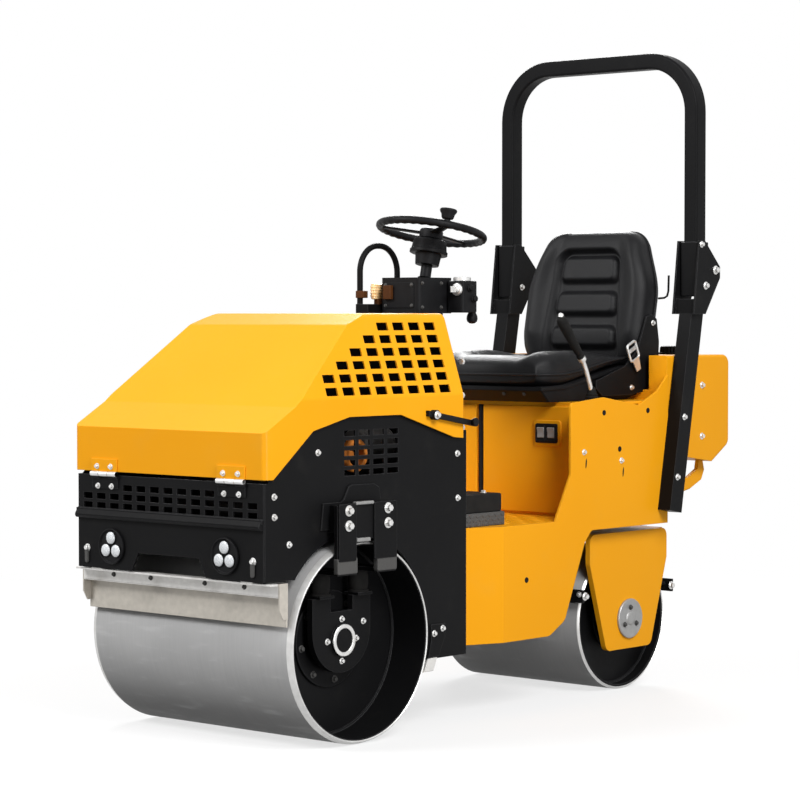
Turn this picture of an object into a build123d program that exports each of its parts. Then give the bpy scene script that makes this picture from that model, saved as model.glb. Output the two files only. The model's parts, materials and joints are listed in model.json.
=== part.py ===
from build123d import *
import os
from math import cos, radians, sin, sqrt

# A ride-on tandem road roller. Millimetres, +Z up, the front faces -Y, +X is the operator's left.
# The origin is on the ground at the middle of the machine's bounding box.

# Drums and axles
front_drum_radius = 280
front_drum_width = 789
rear_drum_radius = 224
rear_drum_width = 567
front_axle_y = -729
wheelbase = 1330
drum_wall = 14
drum_bevel = 5
front_head_inset = 130
rear_head_inset = 44
head_thickness = 12
hub_radius = 60
hub_length = 38
axle_tube_radius = 52
journal_radius = 30
journal_reach = 40
running_clearance = 0.3
moving_clearance = 5.5

# Engine cover at the front, called the hood
hood_wall = 5
hood_clearance = 6
hood_length = 806
hood_sill_gap = 10
hood_nose_height = 124
hood_brow_run = 115
hood_brow_rise = 66
hood_slope_run = 273
hood_slope_rise = 218
hood_crown_run = 90
hood_crown_rise = 32
hood_belt_rise = 19
hood_top_inset = 76
hood_rounding = 26
hood_corner_rounding = 16
hood_skirt_rise = 34
hood_skirt_lead = 31
hood_skirt_brow_run = 153
hood_skirt_front_run = 144
hood_skirt_run = 210
hood_tail_drop = 70
hood_tail_run = 40
hood_tail_end_drop = 4

# Black lower panels round the engine bay
panel_inset = 29.5
panel_thickness = 6
front_overhang = 354
front_panel_bottom_z = 466
front_panel_top_z = 728
panel_foot_z = 200
panel_lap = 18
arch_clearance = 20
bay_floor_thickness = 6
bulkhead_thickness = 10
bulkhead_gap = 9
panel_tail = 17

# Grille slots
hood_slot_length = 46
hood_slot_height = 22
hood_slot_pitch = 67
hood_slot_row_pitch = 35.2
hood_slot_counts = (8, 8, 7, 6, 5, 4)
hood_slot_rise = 18
hood_slot_tail = 74
panel_slot_length = 45
panel_slot_height = 16
panel_slot_pitch = 58.5
panel_slot_columns = 4
panel_slot_rows = 5
panel_slot_row_pitch = 27
panel_slot_drop = 45
panel_slot_lead = 18
nose_slot_length = 37
nose_slot_height = 17
nose_slot_pitch = 54
nose_slot_row_pitch = 26
nose_slot_drop = 34
nose_slot_margin = 14
nose_short_row_margin = 176

# Nose lamps, rib and notch
lamp_inset = 141
lamp_rise = 64
lamp_bezel_radius = 50
lamp_bezel_depth = 8
lamp_lens_radius = 18
lamp_lens_ring = 23
lamp_lens_depth = 5
nose_rib_rise = 155
nose_rib_height = 12
nose_rib_depth = 8
nose_notch_top_width = 240
nose_notch_bottom_width = 294
nose_notch_height = 51

# Hood hinges and latches
hinge_inset = 115
hinge_length = 103
hinge_rise = 3
knuckle_radius = 6.5
hinge_pin_radius = 3
leaf_thickness = 4
leaf_height = 34
knuckle_gap = 1
latch_rear_reach = 42
latch_length = 205
latch_height = 16
latch_thickness = 12
latch_rise = 9
latch_fall = 35
latch_boss_radius = 14
latch_boss_depth = 6

# Hangers, rubber mounts and carriers of the front drum
hanger_half_width = 118
hanger_rise = 80
hanger_block_rise = 5
hanger_thickness = 12
hanger_slot_half_width = 42
hanger_slot_height = 95
hanger_foot_thickness = 12
hanger_block_inset = 13
mount_spread = 77
mount_radius = 28
mount_height = 62
carrier_inset = 77
carrier_thickness = 20
carrier_half_width = 116
carrier_head_rise = 120
carrier_notch_width = 90
carrier_notch_depth = 40
carrier_round_rise = 26
carrier_pad_thickness = 8
bearing_ring_radius = 43
bearing_ring_depth = 8

# Scrapers
scraper_thickness = 8
front_scraper_drop = 16
front_scraper_height = 105
front_scraper_inset = 6.5
front_scraper_gap = 4
front_scraper_flange = 50
scraper_bracket_width = 44
scraper_bracket_height = 60
rear_blade_height = 40
rear_blade_reach = 60
yoke_scraper_rise = 86
yoke_scraper_height = 40
yoke_scraper_gap = 12
yoke_strap_inset = 90
yoke_strap_width = 50
yoke_strap_drop = 80
yoke_scraper_blade_gap = 7

# Engine block
engine_width = 460
engine_height = 290
engine_front_gap = 170
engine_rear_gap = 75
engine_chamfer = 20

# Floor, body and seat box
body_half_width = 350
body_wall = 8
body_flare = 45
body_flare_front = 80
body_flare_length = 115
floor_top_z = 553
floor_thickness = 8
sill_bottom_z = 212
sill_rounding = 40
chassis_side_gap = 9
chassis_bottom_rise = 18
chassis_rear_gap = 405
dash_half_width = 150
dash_depth = 173
dash_rounding = 30
step_side_gap = 2
step_depth = 255
step_height = 94
step_gap = 12
box_front_gap = 250
box_rear_gap = 150
box_side_front_gap = 349
box_side_knee_rise = 137
box_side_knee_gap = 423
box_deck_rise = 352
box_side_lip = 2
box_side_crest_gap = 185
box_side_crest = 14
box_side_dip_gap = 5
box_side_dip = 14
box_side_tail_run = 55
box_side_tail_drop = 50
box_side_tail_rise = 80
box_side_rounding = 16
underbody_gap = 2
underbody_thickness = 8
arch_gap = 20
arch_heel_gap = 451
arch_heel_run = 75
arch_heel_rise = 41
arch_front_gap = 278
arch_corner_drop = 34
arch_corner_gap = 245
arch_rounding = 24

# Yoke of the rear drum
yoke_plate_gap = 8.5
yoke_plate_thickness = 18
yoke_half_length = 200
yoke_toe_half_length = 115
yoke_shoulder_drop = 92
yoke_drum_gap = 30
yoke_top_thickness = 19
yoke_toe_drop = 94
yoke_rounding = 25
yoke_cap_radius = 62
yoke_cap_depth = 12
kingpin_radius = 40
kingpin_rise = 122
kingpin_nut_radius = 55
kingpin_nut_height = 22
boss_radius = 85
boss_height = 122

# Water tank behind the seat
tank_side_inset = 5
tank_depth = 346.5
tank_rise = 140
tank_height = 345
tank_front_lift = 35
tank_rear_lift = 56
tank_belly_depth = 255
tank_rounding = 30
tank_corner_rounding = 9
tank_recess_gap = 30
bracket_inset = 45
bracket_thickness = 10
bracket_drop = 142
bracket_tip = 23

# Folding roll bar
post_width = 48
post_depth = 62
post_foot_rise = 39
post_foot_gap = 127
post_height = 668
post_lean = 10.3
hoop_tube_radius = 35
hoop_tube_wall = 4
hoop_gap = 258
hoop_height = 778
hoop_foot_gap = 8
hoop_bend_radius = 168
cheek_thickness = 6
cheek_gap = 2
cheek_rise = 184
cheek_top_setback = 4
cheek_front_rake = 28
pivot_setback = 54
pivot_rise = 92
pivot_pin_radius = 10
pivot_boss = 25
hoop_lug_height = 60

# Seat
seat_half_width = 235
seat_front_gap = 345
seat_depth = 465
seat_pan_thickness = 34
seat_base_half_width = 190
seat_base_inset = 46
seat_pan_rise = 61
seat_cushion_height = 62
seat_soft_gap = 0.3
seat_back_gap = 14
seat_back_thickness = 82
seat_back_height = 440
seat_back_half_width = 245
seat_back_lean = 11
seat_back_shoulder_drop = 140
seat_back_top_inset = 57
seat_back_rounding = 42
seat_top_rounding = 18

# Steering column, wheel and dash controls
console_half_width = 78
console_depth = 160
console_setback = 128
console_height = 107
console_rounding = 18
column_lean = 12
wheel_setback = 148
wheel_rise = 140
wheel_radius = 158
wheel_rim_radius = 12
wheel_spoke_radius = 8
wheel_hub_radius = 36
wheel_hub_height = 26
column_radius = 17
column_cup_radius = 56
column_cup_height = 44
column_collar_radius = 37
column_collar_height = 34
knob_radius = 24
knob_height = 30
knob_stem_radius = 9
knob_stem_height = 16
knob_angle = -33
spoke_sink = 2
cluster_width = 66
cluster_depth = 70
cluster_height = 96
cluster_lift = 2
gauge_radius = 24
gauge_depth = 10
throttle_rod_radius = 5
throttle_reach = 17
throttle_drop = 48
throttle_knob_radius = 17
grab_side_gap = 40
grab_tube_radius = 9
grab_width = 168
grab_rise = 204
grab_foot_rise = 28
grab_setback = 44
lever_base_gap = 165
lever_base_length = 60
lever_base_width = 40
lever_base_height = 22
lever_rod_radius = 7
lever_grip_radius = 17
lever_elbow_run = 52
lever_elbow_rise = 135
lever_grip_run = 108
lever_grip_rise = 126
switch_offset = 191
switch_width = 86
switch_height = 60
switch_depth = 18
switch_drop = 88
tow_eye_radius = 16
tow_plate_thickness = 16
tow_plate_width = 90
tow_plate_reach = 52

# Places that follow from the sizes above
front_axle_z = front_drum_radius
rear_axle_z = rear_drum_radius
rear_axle_y = front_axle_y + wheelbase
panel_half_width = front_drum_width / 2 - panel_inset
panel_front_y = front_axle_y - front_overhang
panel_inner_x = panel_half_width - panel_thickness
panel_back_y = panel_front_y + panel_thickness
hood_half_width = panel_half_width + hood_clearance + hood_wall
hood_front_y = panel_front_y - leaf_thickness
hood_rear_y = hood_front_y + hood_length
hood_bottom_z = front_panel_top_z + hood_sill_gap
hood_nose_z = hood_bottom_z + hood_nose_height
hood_slope_y = hood_front_y + hood_brow_run
hood_slope_z = hood_nose_z + hood_brow_rise
hood_shoulder_y = hood_slope_y + hood_slope_run
hood_shoulder_z = hood_slope_z + hood_slope_rise
hood_crown_y = hood_shoulder_y + hood_crown_run
hood_top_z = hood_shoulder_z + hood_crown_rise
hood_belt_z = hood_slope_z + hood_belt_rise
hood_skirt_z = hood_nose_z + hood_skirt_rise
hood_tail_z = hood_skirt_z - hood_tail_drop
skirt_brow_y = hood_front_y + hood_skirt_lead + hood_skirt_brow_run
skirt_front_y = skirt_brow_y + hood_skirt_front_run
skirt_rear_y = skirt_front_y + hood_skirt_run
skirt_tail_y = hood_rear_y - hood_tail_run
hinge_y = hood_front_y - leaf_thickness
hinge_z = front_panel_top_z + hinge_rise
hinge_offset = panel_half_width - hinge_inset
lamp_offset = panel_half_width - lamp_inset
lamp_z = front_panel_bottom_z + lamp_rise
bulkhead_front_y = hood_rear_y + bulkhead_gap
bulkhead_rear_y = bulkhead_front_y + bulkhead_thickness
panel_rear_y = bulkhead_rear_y + panel_tail - bulkhead_thickness
bay_floor_z = 2 * front_drum_radius + arch_clearance
bay_floor_top_z = bay_floor_z + bay_floor_thickness
hanger_top_z = bay_floor_z + hanger_rise
scraper_top_z = front_panel_bottom_z - front_scraper_drop
hanger_inner_x = front_drum_width / 2 + moving_clearance
hanger_outer_x = hanger_inner_x + hanger_thickness
carrier_outer_x = front_drum_width / 2 - carrier_inset
carrier_inner_x = carrier_outer_x - carrier_thickness
carrier_head_z = front_axle_z + carrier_head_rise
mount_bottom_z = carrier_head_z + carrier_pad_thickness
hanger_foot_z = mount_bottom_z + mount_height
body_inner_x = body_half_width - body_wall
body_front_half_width = body_half_width - body_flare
body_front_inner_x = body_front_half_width - body_wall
floor_bottom_z = floor_top_z - floor_thickness
flare_front_y = bulkhead_rear_y + body_flare_front
body_fold_y = flare_front_y + body_flare_length
box_deck_z = floor_top_z + box_deck_rise
box_front_y = rear_axle_y - box_front_gap
box_rear_y = rear_axle_y + box_rear_gap
box_inner_rear_y = box_rear_y - body_wall
yoke_top_z = 2 * rear_drum_radius + yoke_drum_gap + yoke_top_thickness
arch_top_z = yoke_top_z + arch_gap
underbody_z = arch_top_z + underbody_gap
yoke_inner_x = rear_drum_width / 2 + yoke_plate_gap
yoke_outer_x = yoke_inner_x + yoke_plate_thickness
post_inner_x = body_half_width
post_foot_z = arch_top_z + post_foot_rise
post_top_z = post_foot_z + post_height
hoop_offset_x = post_inner_x + post_width / 2
hoop_y = rear_axle_y + hoop_gap
pivot_y = hoop_y + pivot_setback
pivot_z = post_top_z + pivot_rise
hoop_bottom_z = post_top_z + hoop_foot_gap
hoop_top_z = hoop_bottom_z + hoop_height
cheek_top_z = post_top_z + cheek_rise
cheek_inner_x = hoop_offset_x - hoop_tube_radius - cheek_gap
cheek_outer_x = hoop_offset_x + hoop_tube_radius + cheek_gap
seat_front_y = rear_axle_y - seat_front_gap
seat_rear_y = seat_front_y + seat_depth
seat_pan_z = box_deck_z + seat_pan_rise
cushion_bottom_z = seat_pan_z + seat_pan_thickness + seat_soft_gap
seat_back_top_z = cushion_bottom_z + seat_back_height
seat_back_shoulder_z = seat_back_top_z - seat_back_shoulder_drop
seat_back_top_half_width = seat_back_half_width - seat_back_top_inset
tank_half_width = body_half_width - tank_side_inset
tank_rear_y = box_rear_y + tank_depth
tank_top_z = box_deck_z + tank_rise
tank_bottom_z = tank_top_z - tank_height
tank_front_bottom_z = tank_bottom_z + tank_front_lift
console_front_y = bulkhead_rear_y + console_setback
console_rear_y = console_front_y + console_depth
console_top_z = hood_top_z + console_height
wheel_centre = Vector(0, console_front_y + wheel_setback, console_top_z + wheel_rise)
column_axis = Vector(0, sin(radians(column_lean)), cos(radians(column_lean)))


# Building helpers
def plate_across(outline, low_x, high_x, mode=Mode.ADD):
    """Add a plate with a (y, z) outline between two X planes to the part in hand."""
    with BuildSketch(Plane.YZ.offset(low_x)) as profile:
        with BuildLine():
            Polyline(*outline, close=True)
        make_face()
    extrude(profile.sketch, amount=high_x - low_x, mode=mode)


def plate_along(outline, low_y, high_y, mode=Mode.ADD):
    """Add a plate with an (x, z) outline between two Y planes to the part in hand."""
    with BuildSketch(Plane.XZ.offset(-high_y)) as profile:
        with BuildLine():
            Polyline(*outline, close=True)
        make_face()
    extrude(profile.sketch, amount=high_y - low_y, mode=mode)


def plate_flat(outline, low_z, high_z, mode=Mode.ADD):
    """Add a plate with an (x, y) outline between two heights to the part in hand."""
    with BuildSketch(Plane.XY.offset(low_z)) as profile:
        with BuildLine():
            Polyline(*outline, close=True)
        make_face()
    extrude(profile.sketch, amount=high_z - low_z, mode=mode)


def block(low, high, mode=Mode.ADD):
    """Add a box between two opposite corners to the part in hand."""
    corner_a = Vector(*low)
    corner_b = Vector(*high)
    size = corner_b - corner_a
    with Locations((corner_a + corner_b) * 0.5):
        Box(size.X, size.Y, size.Z, mode=mode)


def rod(start, end, radius, mode=Mode.ADD):
    """Add a round bar between two points to the part in hand."""
    first = Vector(*start)
    span = Vector(*end) - first
    with BuildSketch(Plane(origin=first, z_dir=span)) as section:
        Circle(radius)
    extrude(section.sketch, amount=span.length, mode=mode)


def drum_shell(axle, radius, width):
    """Add a rolling drum's steel shell, with bevelled rims, round an axle point."""
    rod(axle - Vector(width / 2, 0, 0), axle + Vector(width / 2, 0, 0), radius)
    chamfer(edges().filter_by(GeomType.CIRCLE), length=drum_bevel)
    bore = radius - drum_wall
    rod(axle - Vector(width / 2, 0, 0), axle + Vector(width / 2, 0, 0), bore, mode=Mode.SUBTRACT)


def drum_heads(axle, radius, width, inset):
    """Add the two head discs of a drum, their hubs and the tube that joins them."""
    head_outer = width / 2 - inset
    head_inner = head_outer - head_thickness
    for side in (1, -1):
        inner_face = axle + Vector(side * head_inner, 0, 0)
        outer_face = axle + Vector(side * head_outer, 0, 0)
        rod(inner_face, outer_face, radius - drum_wall)
        hub_outer = head_inner + hub_length
        rod(axle + Vector(side * head_inner, 0, 0), axle + Vector(side * hub_outer, 0, 0), hub_radius)
    rod(axle - Vector(head_inner, 0, 0), axle + Vector(head_inner, 0, 0), axle_tube_radius)
    rod(axle - Vector(width / 2, 0, 0), axle + Vector(width / 2, 0, 0),
        journal_radius + running_clearance, mode=Mode.SUBTRACT)


def hood_form(inset, overrun):
    """Return the hood's outer form, moved in by inset and run past its open base and rear."""
    rounding = hood_rounding - inset
    with BuildPart() as form:
        with BuildSketch(Plane.YZ.offset(-hood_half_width)):
            with BuildLine():
                Polyline(
                    (hood_front_y, hood_bottom_z - overrun),
                    (hood_front_y, hood_nose_z),
                    (hood_slope_y, hood_slope_z),
                    (hood_shoulder_y, hood_shoulder_z),
                    (hood_crown_y, hood_top_z),
                    (hood_rear_y + overrun, hood_top_z),
                    (hood_rear_y + overrun, hood_bottom_z - overrun),
                    close=True,
                )
            make_face()
            offset(amount=-inset, kind=Kind.INTERSECTION)
            fillet(vertices().sort_by(Axis.X)[2:6].sort_by(Axis.Y)[-4:], radius=rounding)
        extrude(amount=2 * hood_half_width)
        with BuildSketch(Plane.XZ.offset(-hood_rear_y - overrun)):
            top_half_width = hood_half_width - hood_top_inset
            with BuildLine():
                Polyline(
                    (-hood_half_width, hood_bottom_z - overrun),
                    (-hood_half_width, hood_belt_z),
                    (-top_half_width, hood_top_z),
                    (top_half_width, hood_top_z),
                    (hood_half_width, hood_belt_z),
                    (hood_half_width, hood_bottom_z - overrun),
                    close=True,
                )
            make_face()
            offset(amount=-inset, kind=Kind.INTERSECTION)
            fillet(vertices().group_by(Axis.Y)[1:], radius=rounding)
        extrude(amount=hood_length + 2 * overrun, mode=Mode.INTERSECT)
        with BuildSketch(Plane.XY.offset(hood_bottom_z - overrun)):
            with BuildLine():
                Polyline(
                    (-hood_half_width, hood_front_y),
                    (hood_half_width, hood_front_y),
                    (hood_half_width, hood_rear_y + overrun),
                    (-hood_half_width, hood_rear_y + overrun),
                    close=True,
                )
            make_face()
            offset(amount=-inset, kind=Kind.INTERSECTION)
            fillet(vertices().group_by(Axis.Y)[0], radius=hood_corner_rounding - inset)
        extrude(amount=hood_top_z - hood_bottom_z + 2 * overrun, mode=Mode.INTERSECT)
    return form.part


# Front drum
front_axle = Vector(0, front_axle_y, front_axle_z)
rear_axle = Vector(0, rear_axle_y, rear_axle_z)

with BuildPart() as front_drum_shell:
    drum_shell(front_axle, front_drum_radius, front_drum_width)

with BuildPart() as front_drum_heads:
    drum_heads(front_axle, front_drum_radius, front_drum_width, front_head_inset)

# Carriers that hold the front drum's journals inside its open ends
with BuildPart() as carrier_left:
    round_z = front_axle_z + carrier_round_rise
    with BuildSketch(Plane.YZ.offset(carrier_inner_x)):
        with Locations((front_axle_y, (carrier_head_z + round_z) / 2)):
            Rectangle(2 * carrier_half_width, carrier_head_z - round_z)
        with Locations((front_axle_y, round_z)):
            Circle(carrier_half_width)
        with Locations((front_axle_y, carrier_head_z - carrier_notch_depth / 2)):
            Rectangle(carrier_notch_width, carrier_notch_depth, mode=Mode.SUBTRACT)
        with Locations((front_axle_y, carrier_head_z + carrier_half_width / 2)):
            Rectangle(2 * carrier_half_width, carrier_half_width, mode=Mode.SUBTRACT)
    extrude(amount=carrier_thickness)
    ring_x = carrier_outer_x + bearing_ring_depth
    rod(
        (carrier_outer_x, front_axle_y, front_axle_z),
        (ring_x, front_axle_y, front_axle_z),
        bearing_ring_radius,
    )
    for side in (1, -1):
        pad_y = front_axle_y + side * mount_spread
        pad_x = (carrier_inner_x + carrier_outer_x) / 2
        block(
            (pad_x - mount_radius, pad_y - mount_radius, carrier_head_z),
            (pad_x + mount_radius, pad_y + mount_radius, mount_bottom_z),
        )
    journal_tip_x = front_drum_width / 2 - front_head_inset - journal_reach
    rod(
        (journal_tip_x, front_axle_y, front_axle_z),
        (carrier_inner_x, front_axle_y, front_axle_z),
        journal_radius,
    )

with BuildPart() as carrier_right:
    mirror(carrier_left.part, about=Plane.YZ)

with BuildPart() as rubber_mounts:
    mount_x = (carrier_inner_x + carrier_outer_x) / 2
    for side in (1, -1):
        for end in (1, -1):
            mount_y = front_axle_y + end * mount_spread
            rod(
                (side * mount_x, mount_y, mount_bottom_z),
                (side * mount_x, mount_y, hanger_foot_z),
                mount_radius,
            )

with BuildPart() as hanger_left:
    block_bottom_z = bay_floor_z + hanger_block_rise
    block(
        (hanger_inner_x, front_axle_y - hanger_half_width, hanger_foot_z),
        (hanger_outer_x, front_axle_y + hanger_half_width, hanger_top_z),
    )
    block(
        (hanger_inner_x, front_axle_y - hanger_slot_half_width, hanger_foot_z),
        (hanger_outer_x, front_axle_y + hanger_slot_half_width, hanger_foot_z + hanger_slot_height),
        mode=Mode.SUBTRACT,
    )
    block(
        (panel_half_width, front_axle_y - hanger_half_width + hanger_block_inset, block_bottom_z),
        (hanger_inner_x, front_axle_y + hanger_half_width - hanger_block_inset, hanger_top_z),
    )
    for side in (1, -1):
        foot_y = front_axle_y + side * mount_spread
        foot_inner_x = (carrier_inner_x + carrier_outer_x) / 2 - mount_radius
        block(
            (foot_inner_x, foot_y - mount_radius, hanger_foot_z),
            (hanger_inner_x, foot_y + mount_radius, hanger_foot_z + hanger_foot_thickness),
        )

with BuildPart() as hanger_right:
    mirror(hanger_left.part, about=Plane.YZ)

# Hood
with BuildPart() as hood:
    add(hood_form(0, 0))
    add(hood_form(hood_wall, 3 * hood_wall), mode=Mode.SUBTRACT)
    skirt = [
        (hood_front_y + hood_skirt_lead, hood_bottom_z),
        (skirt_brow_y, hood_nose_z),
        (skirt_front_y, hood_skirt_z),
        (skirt_rear_y, hood_skirt_z),
        (skirt_tail_y, hood_tail_z),
        (hood_rear_y + hood_wall, hood_tail_z - hood_tail_end_drop),
    ]
    below_z = hood_bottom_z - hood_wall
    below_skirt = [(hood_rear_y + hood_wall, below_z), (skirt[0][0], below_z)]
    plate_across(skirt + below_skirt, -hood_half_width, hood_half_width, mode=Mode.SUBTRACT)
    for row, count in enumerate(hood_slot_counts):
        row_z = hood_belt_z + hood_slot_rise + row * hood_slot_row_pitch
        row_y = hood_rear_y - hood_slot_tail - (count - 1) * hood_slot_pitch / 2
        with BuildSketch(Plane.YZ.offset(-hood_half_width)):
            with Locations((row_y, row_z)):
                with GridLocations(hood_slot_pitch, 1, count, 1):
                    Rectangle(hood_slot_length, hood_slot_height)
        extrude(amount=2 * hood_half_width, mode=Mode.SUBTRACT)

# Hood hinges: lower leaves stay on the nose panel, upper leaves swing with the hood
third = hinge_length / 3
with BuildPart() as hinge_lower_leaves:
    for side in (1, -1):
        middle_x = side * hinge_offset
        block(
            (middle_x - hinge_length / 2, hood_front_y, hinge_z - leaf_height - knuckle_radius),
            (middle_x + hinge_length / 2, panel_front_y, hinge_z - knuckle_radius),
        )
        for end in (1, -1):
            inner_x = middle_x + end * (third / 2 + knuckle_gap)
            outer_x = middle_x + end * hinge_length / 2
            rod((inner_x, hinge_y, hinge_z), (outer_x, hinge_y, hinge_z), knuckle_radius)
            block(
                (min(inner_x, outer_x), hinge_y, hinge_z - 2 * knuckle_radius),
                (max(inner_x, outer_x), hood_front_y + leaf_thickness / 2, hinge_z),
            )
        rod((middle_x - hinge_length / 2, hinge_y, hinge_z), (middle_x + hinge_length / 2, hinge_y, hinge_z),
            hinge_pin_radius)

with BuildPart() as hinge_upper_leaves:
    for side in (1, -1):
        middle_x = side * hinge_offset
        leaf_bottom_z = hinge_z + knuckle_radius + knuckle_gap
        block(
            (middle_x - hinge_length / 2, hinge_y, leaf_bottom_z),
            (middle_x + hinge_length / 2, hood_front_y, leaf_bottom_z + leaf_height),
        )
        rod(
            (middle_x - third / 2, hinge_y, hinge_z),
            (middle_x + third / 2, hinge_y, hinge_z),
            knuckle_radius,
        )
        block(
            (middle_x - third / 2, hinge_y - leaf_thickness / 2, hinge_z),
            (middle_x + third / 2, hood_front_y, leaf_bottom_z),
        )
        rod((middle_x - third / 2, hinge_y, hinge_z), (middle_x + third / 2, hinge_y, hinge_z),
            hinge_pin_radius + running_clearance, mode=Mode.SUBTRACT)

with BuildPart() as hood_latches:
    for side in (1, -1):
        latch_inner = min(side * hood_half_width, side * (hood_half_width + latch_thickness))
        latch_rear_y = hood_rear_y + latch_rear_reach
        latch_front_y = latch_rear_y - latch_length
        latch_z = hood_skirt_z + latch_rise
        plate_across(
            [
                (latch_front_y, latch_z),
                (latch_rear_y, latch_z - latch_fall),
                (latch_rear_y, latch_z - latch_fall - latch_height),
                (latch_front_y, latch_z - latch_height),
            ],
            latch_inner,
            latch_inner + latch_thickness,
        )
        boss_y = latch_front_y + 2 * latch_boss_radius
        boss_z = latch_z - latch_height / 2 - latch_fall * (boss_y - latch_front_y) / latch_length
        rod((side * hood_half_width, boss_y, boss_z),
            (side * (hood_half_width + latch_thickness + latch_boss_depth), boss_y, boss_z), latch_boss_radius)

# Panels round the engine bay
with BuildPart() as side_panel_left:
    arch_radius = front_drum_radius + arch_clearance
    arch_front_y = front_axle_y - sqrt(arch_radius**2 - (front_panel_bottom_z - front_axle_z) ** 2)
    arch_rear_y = front_axle_y + sqrt(arch_radius**2 - (panel_foot_z - front_axle_z) ** 2)
    with BuildSketch(Plane.YZ.offset(panel_inner_x)):
        with BuildLine():
            Polyline(
                (arch_rear_y, panel_foot_z),
                (panel_rear_y, panel_foot_z),
                (panel_rear_y, hood_tail_z + panel_lap),
                (skirt_tail_y, hood_tail_z + panel_lap),
                (skirt_rear_y, hood_skirt_z + panel_lap),
                (skirt_front_y, hood_skirt_z + panel_lap),
                (skirt_brow_y, hood_nose_z + panel_lap),
                (panel_back_y + panel_lap / 2, front_panel_top_z),
                (panel_back_y, front_panel_top_z),
                (panel_back_y, front_panel_bottom_z),
                (arch_front_y, front_panel_bottom_z),
            )
            ThreePointArc(
                (arch_front_y, front_panel_bottom_z),
                (front_axle_y, front_axle_z + arch_radius),
                (arch_rear_y, panel_foot_z),
            )
        make_face()
    extrude(amount=panel_thickness)
    for row in range(panel_slot_rows):
        row_z = hood_skirt_z - panel_slot_drop - row * panel_slot_row_pitch
        slots_y = front_axle_y - panel_slot_lead + (panel_slot_columns - 1) * panel_slot_pitch / 2
        with BuildSketch(Plane.YZ.offset(panel_inner_x)):
            with Locations((slots_y, row_z)):
                with GridLocations(panel_slot_pitch, 1, panel_slot_columns, 1):
                    Rectangle(panel_slot_length, panel_slot_height)
        extrude(amount=panel_thickness, mode=Mode.SUBTRACT)

with BuildPart() as side_panel_right:
    mirror(side_panel_left.part, about=Plane.YZ)

with BuildPart() as front_panel:
    plate_along(
        [
            (-panel_half_width, front_panel_top_z),
            (-panel_half_width, front_panel_bottom_z),
            (-nose_notch_bottom_width / 2, front_panel_bottom_z),
            (-nose_notch_top_width / 2, front_panel_bottom_z + nose_notch_height),
            (nose_notch_top_width / 2, front_panel_bottom_z + nose_notch_height),
            (nose_notch_bottom_width / 2, front_panel_bottom_z),
            (panel_half_width, front_panel_bottom_z),
            (panel_half_width, front_panel_top_z),
        ],
        panel_front_y,
        panel_back_y,
    )
    for row, margin in enumerate((nose_short_row_margin, nose_slot_margin, nose_slot_margin)):
        row_z = front_panel_top_z - nose_slot_drop - row * nose_slot_row_pitch
        count = int(2 * (panel_half_width - margin) / nose_slot_pitch)
        with BuildSketch(Plane.XZ.offset(-panel_back_y)):
            with Locations((0, row_z)):
                with GridLocations(nose_slot_pitch, 1, count, 1):
                    Rectangle(nose_slot_length, nose_slot_height)
        extrude(amount=panel_thickness, mode=Mode.SUBTRACT)
    nose_rib_z = front_panel_bottom_z + nose_rib_rise
    block(
        (-panel_half_width, panel_front_y - nose_rib_depth, nose_rib_z),
        (panel_half_width, panel_front_y, nose_rib_z + nose_rib_height),
    )

with BuildPart() as front_lamps:
    for side in (1, -1):
        face_y = panel_front_y - lamp_bezel_depth
        rod(
            (side * lamp_offset, panel_front_y, lamp_z),
            (side * lamp_offset, face_y, lamp_z),
            lamp_bezel_radius,
        )
        for angle in (90, 210, 330):
            lens_x = side * lamp_offset + lamp_lens_ring * cos(radians(angle))
            lens_z = lamp_z + lamp_lens_ring * sin(radians(angle))
            rod((lens_x, face_y, lens_z), (lens_x, face_y - lamp_lens_depth, lens_z), lamp_lens_radius)

with BuildPart() as bay_floor:
    block((-panel_inner_x, panel_back_y, bay_floor_z), (panel_inner_x, bulkhead_front_y, bay_floor_top_z))

with BuildPart() as bulkhead:
    bulkhead_inset = hood_half_width - panel_inner_x
    bulkhead_top_z = hood_top_z - bulkhead_inset
    crown_half_width = hood_half_width - hood_top_inset - bulkhead_inset
    plate_along(
        [
            (-panel_inner_x, panel_foot_z),
            (-panel_inner_x, hood_belt_z),
            (-crown_half_width, bulkhead_top_z),
            (crown_half_width, bulkhead_top_z),
            (panel_inner_x, hood_belt_z),
            (panel_inner_x, panel_foot_z),
        ],
        bulkhead_front_y,
        bulkhead_rear_y,
    )

with BuildPart() as engine:
    engine_front_y = panel_back_y + engine_front_gap
    block(
        (-engine_width / 2, engine_front_y, bay_floor_top_z),
        (engine_width / 2, bulkhead_front_y - engine_rear_gap, bay_floor_top_z + engine_height),
    )
    chamfer(edges().group_by(Axis.Z)[-1], length=engine_chamfer)

# Scrapers of the front drum
with BuildPart() as front_scraper:
    blade_y = front_axle_y - front_drum_radius - front_scraper_gap
    scraper_half_width = front_drum_width / 2 - front_scraper_inset
    block(
        (-scraper_half_width, blade_y - scraper_thickness, scraper_top_z - front_scraper_height),
        (scraper_half_width, blade_y, scraper_top_z),
    )
    block(
        (-scraper_half_width, blade_y - front_scraper_flange, scraper_top_z - scraper_thickness),
        (scraper_half_width, blade_y, scraper_top_z),
    )
    for side in (1, -1):
        bracket_x = side * (lamp_offset + lamp_bezel_radius + scraper_bracket_width / 2)
        block(
            (bracket_x - scraper_bracket_width / 2, panel_back_y, scraper_top_z - scraper_thickness),
            (bracket_x + scraper_bracket_width / 2, panel_back_y + scraper_thickness,
             front_panel_bottom_z + scraper_bracket_height),
        )
        block(
            (bracket_x - scraper_bracket_width / 2, panel_back_y, scraper_top_z - scraper_thickness),
            (bracket_x + scraper_bracket_width / 2, blade_y, scraper_top_z),
        )

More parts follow.
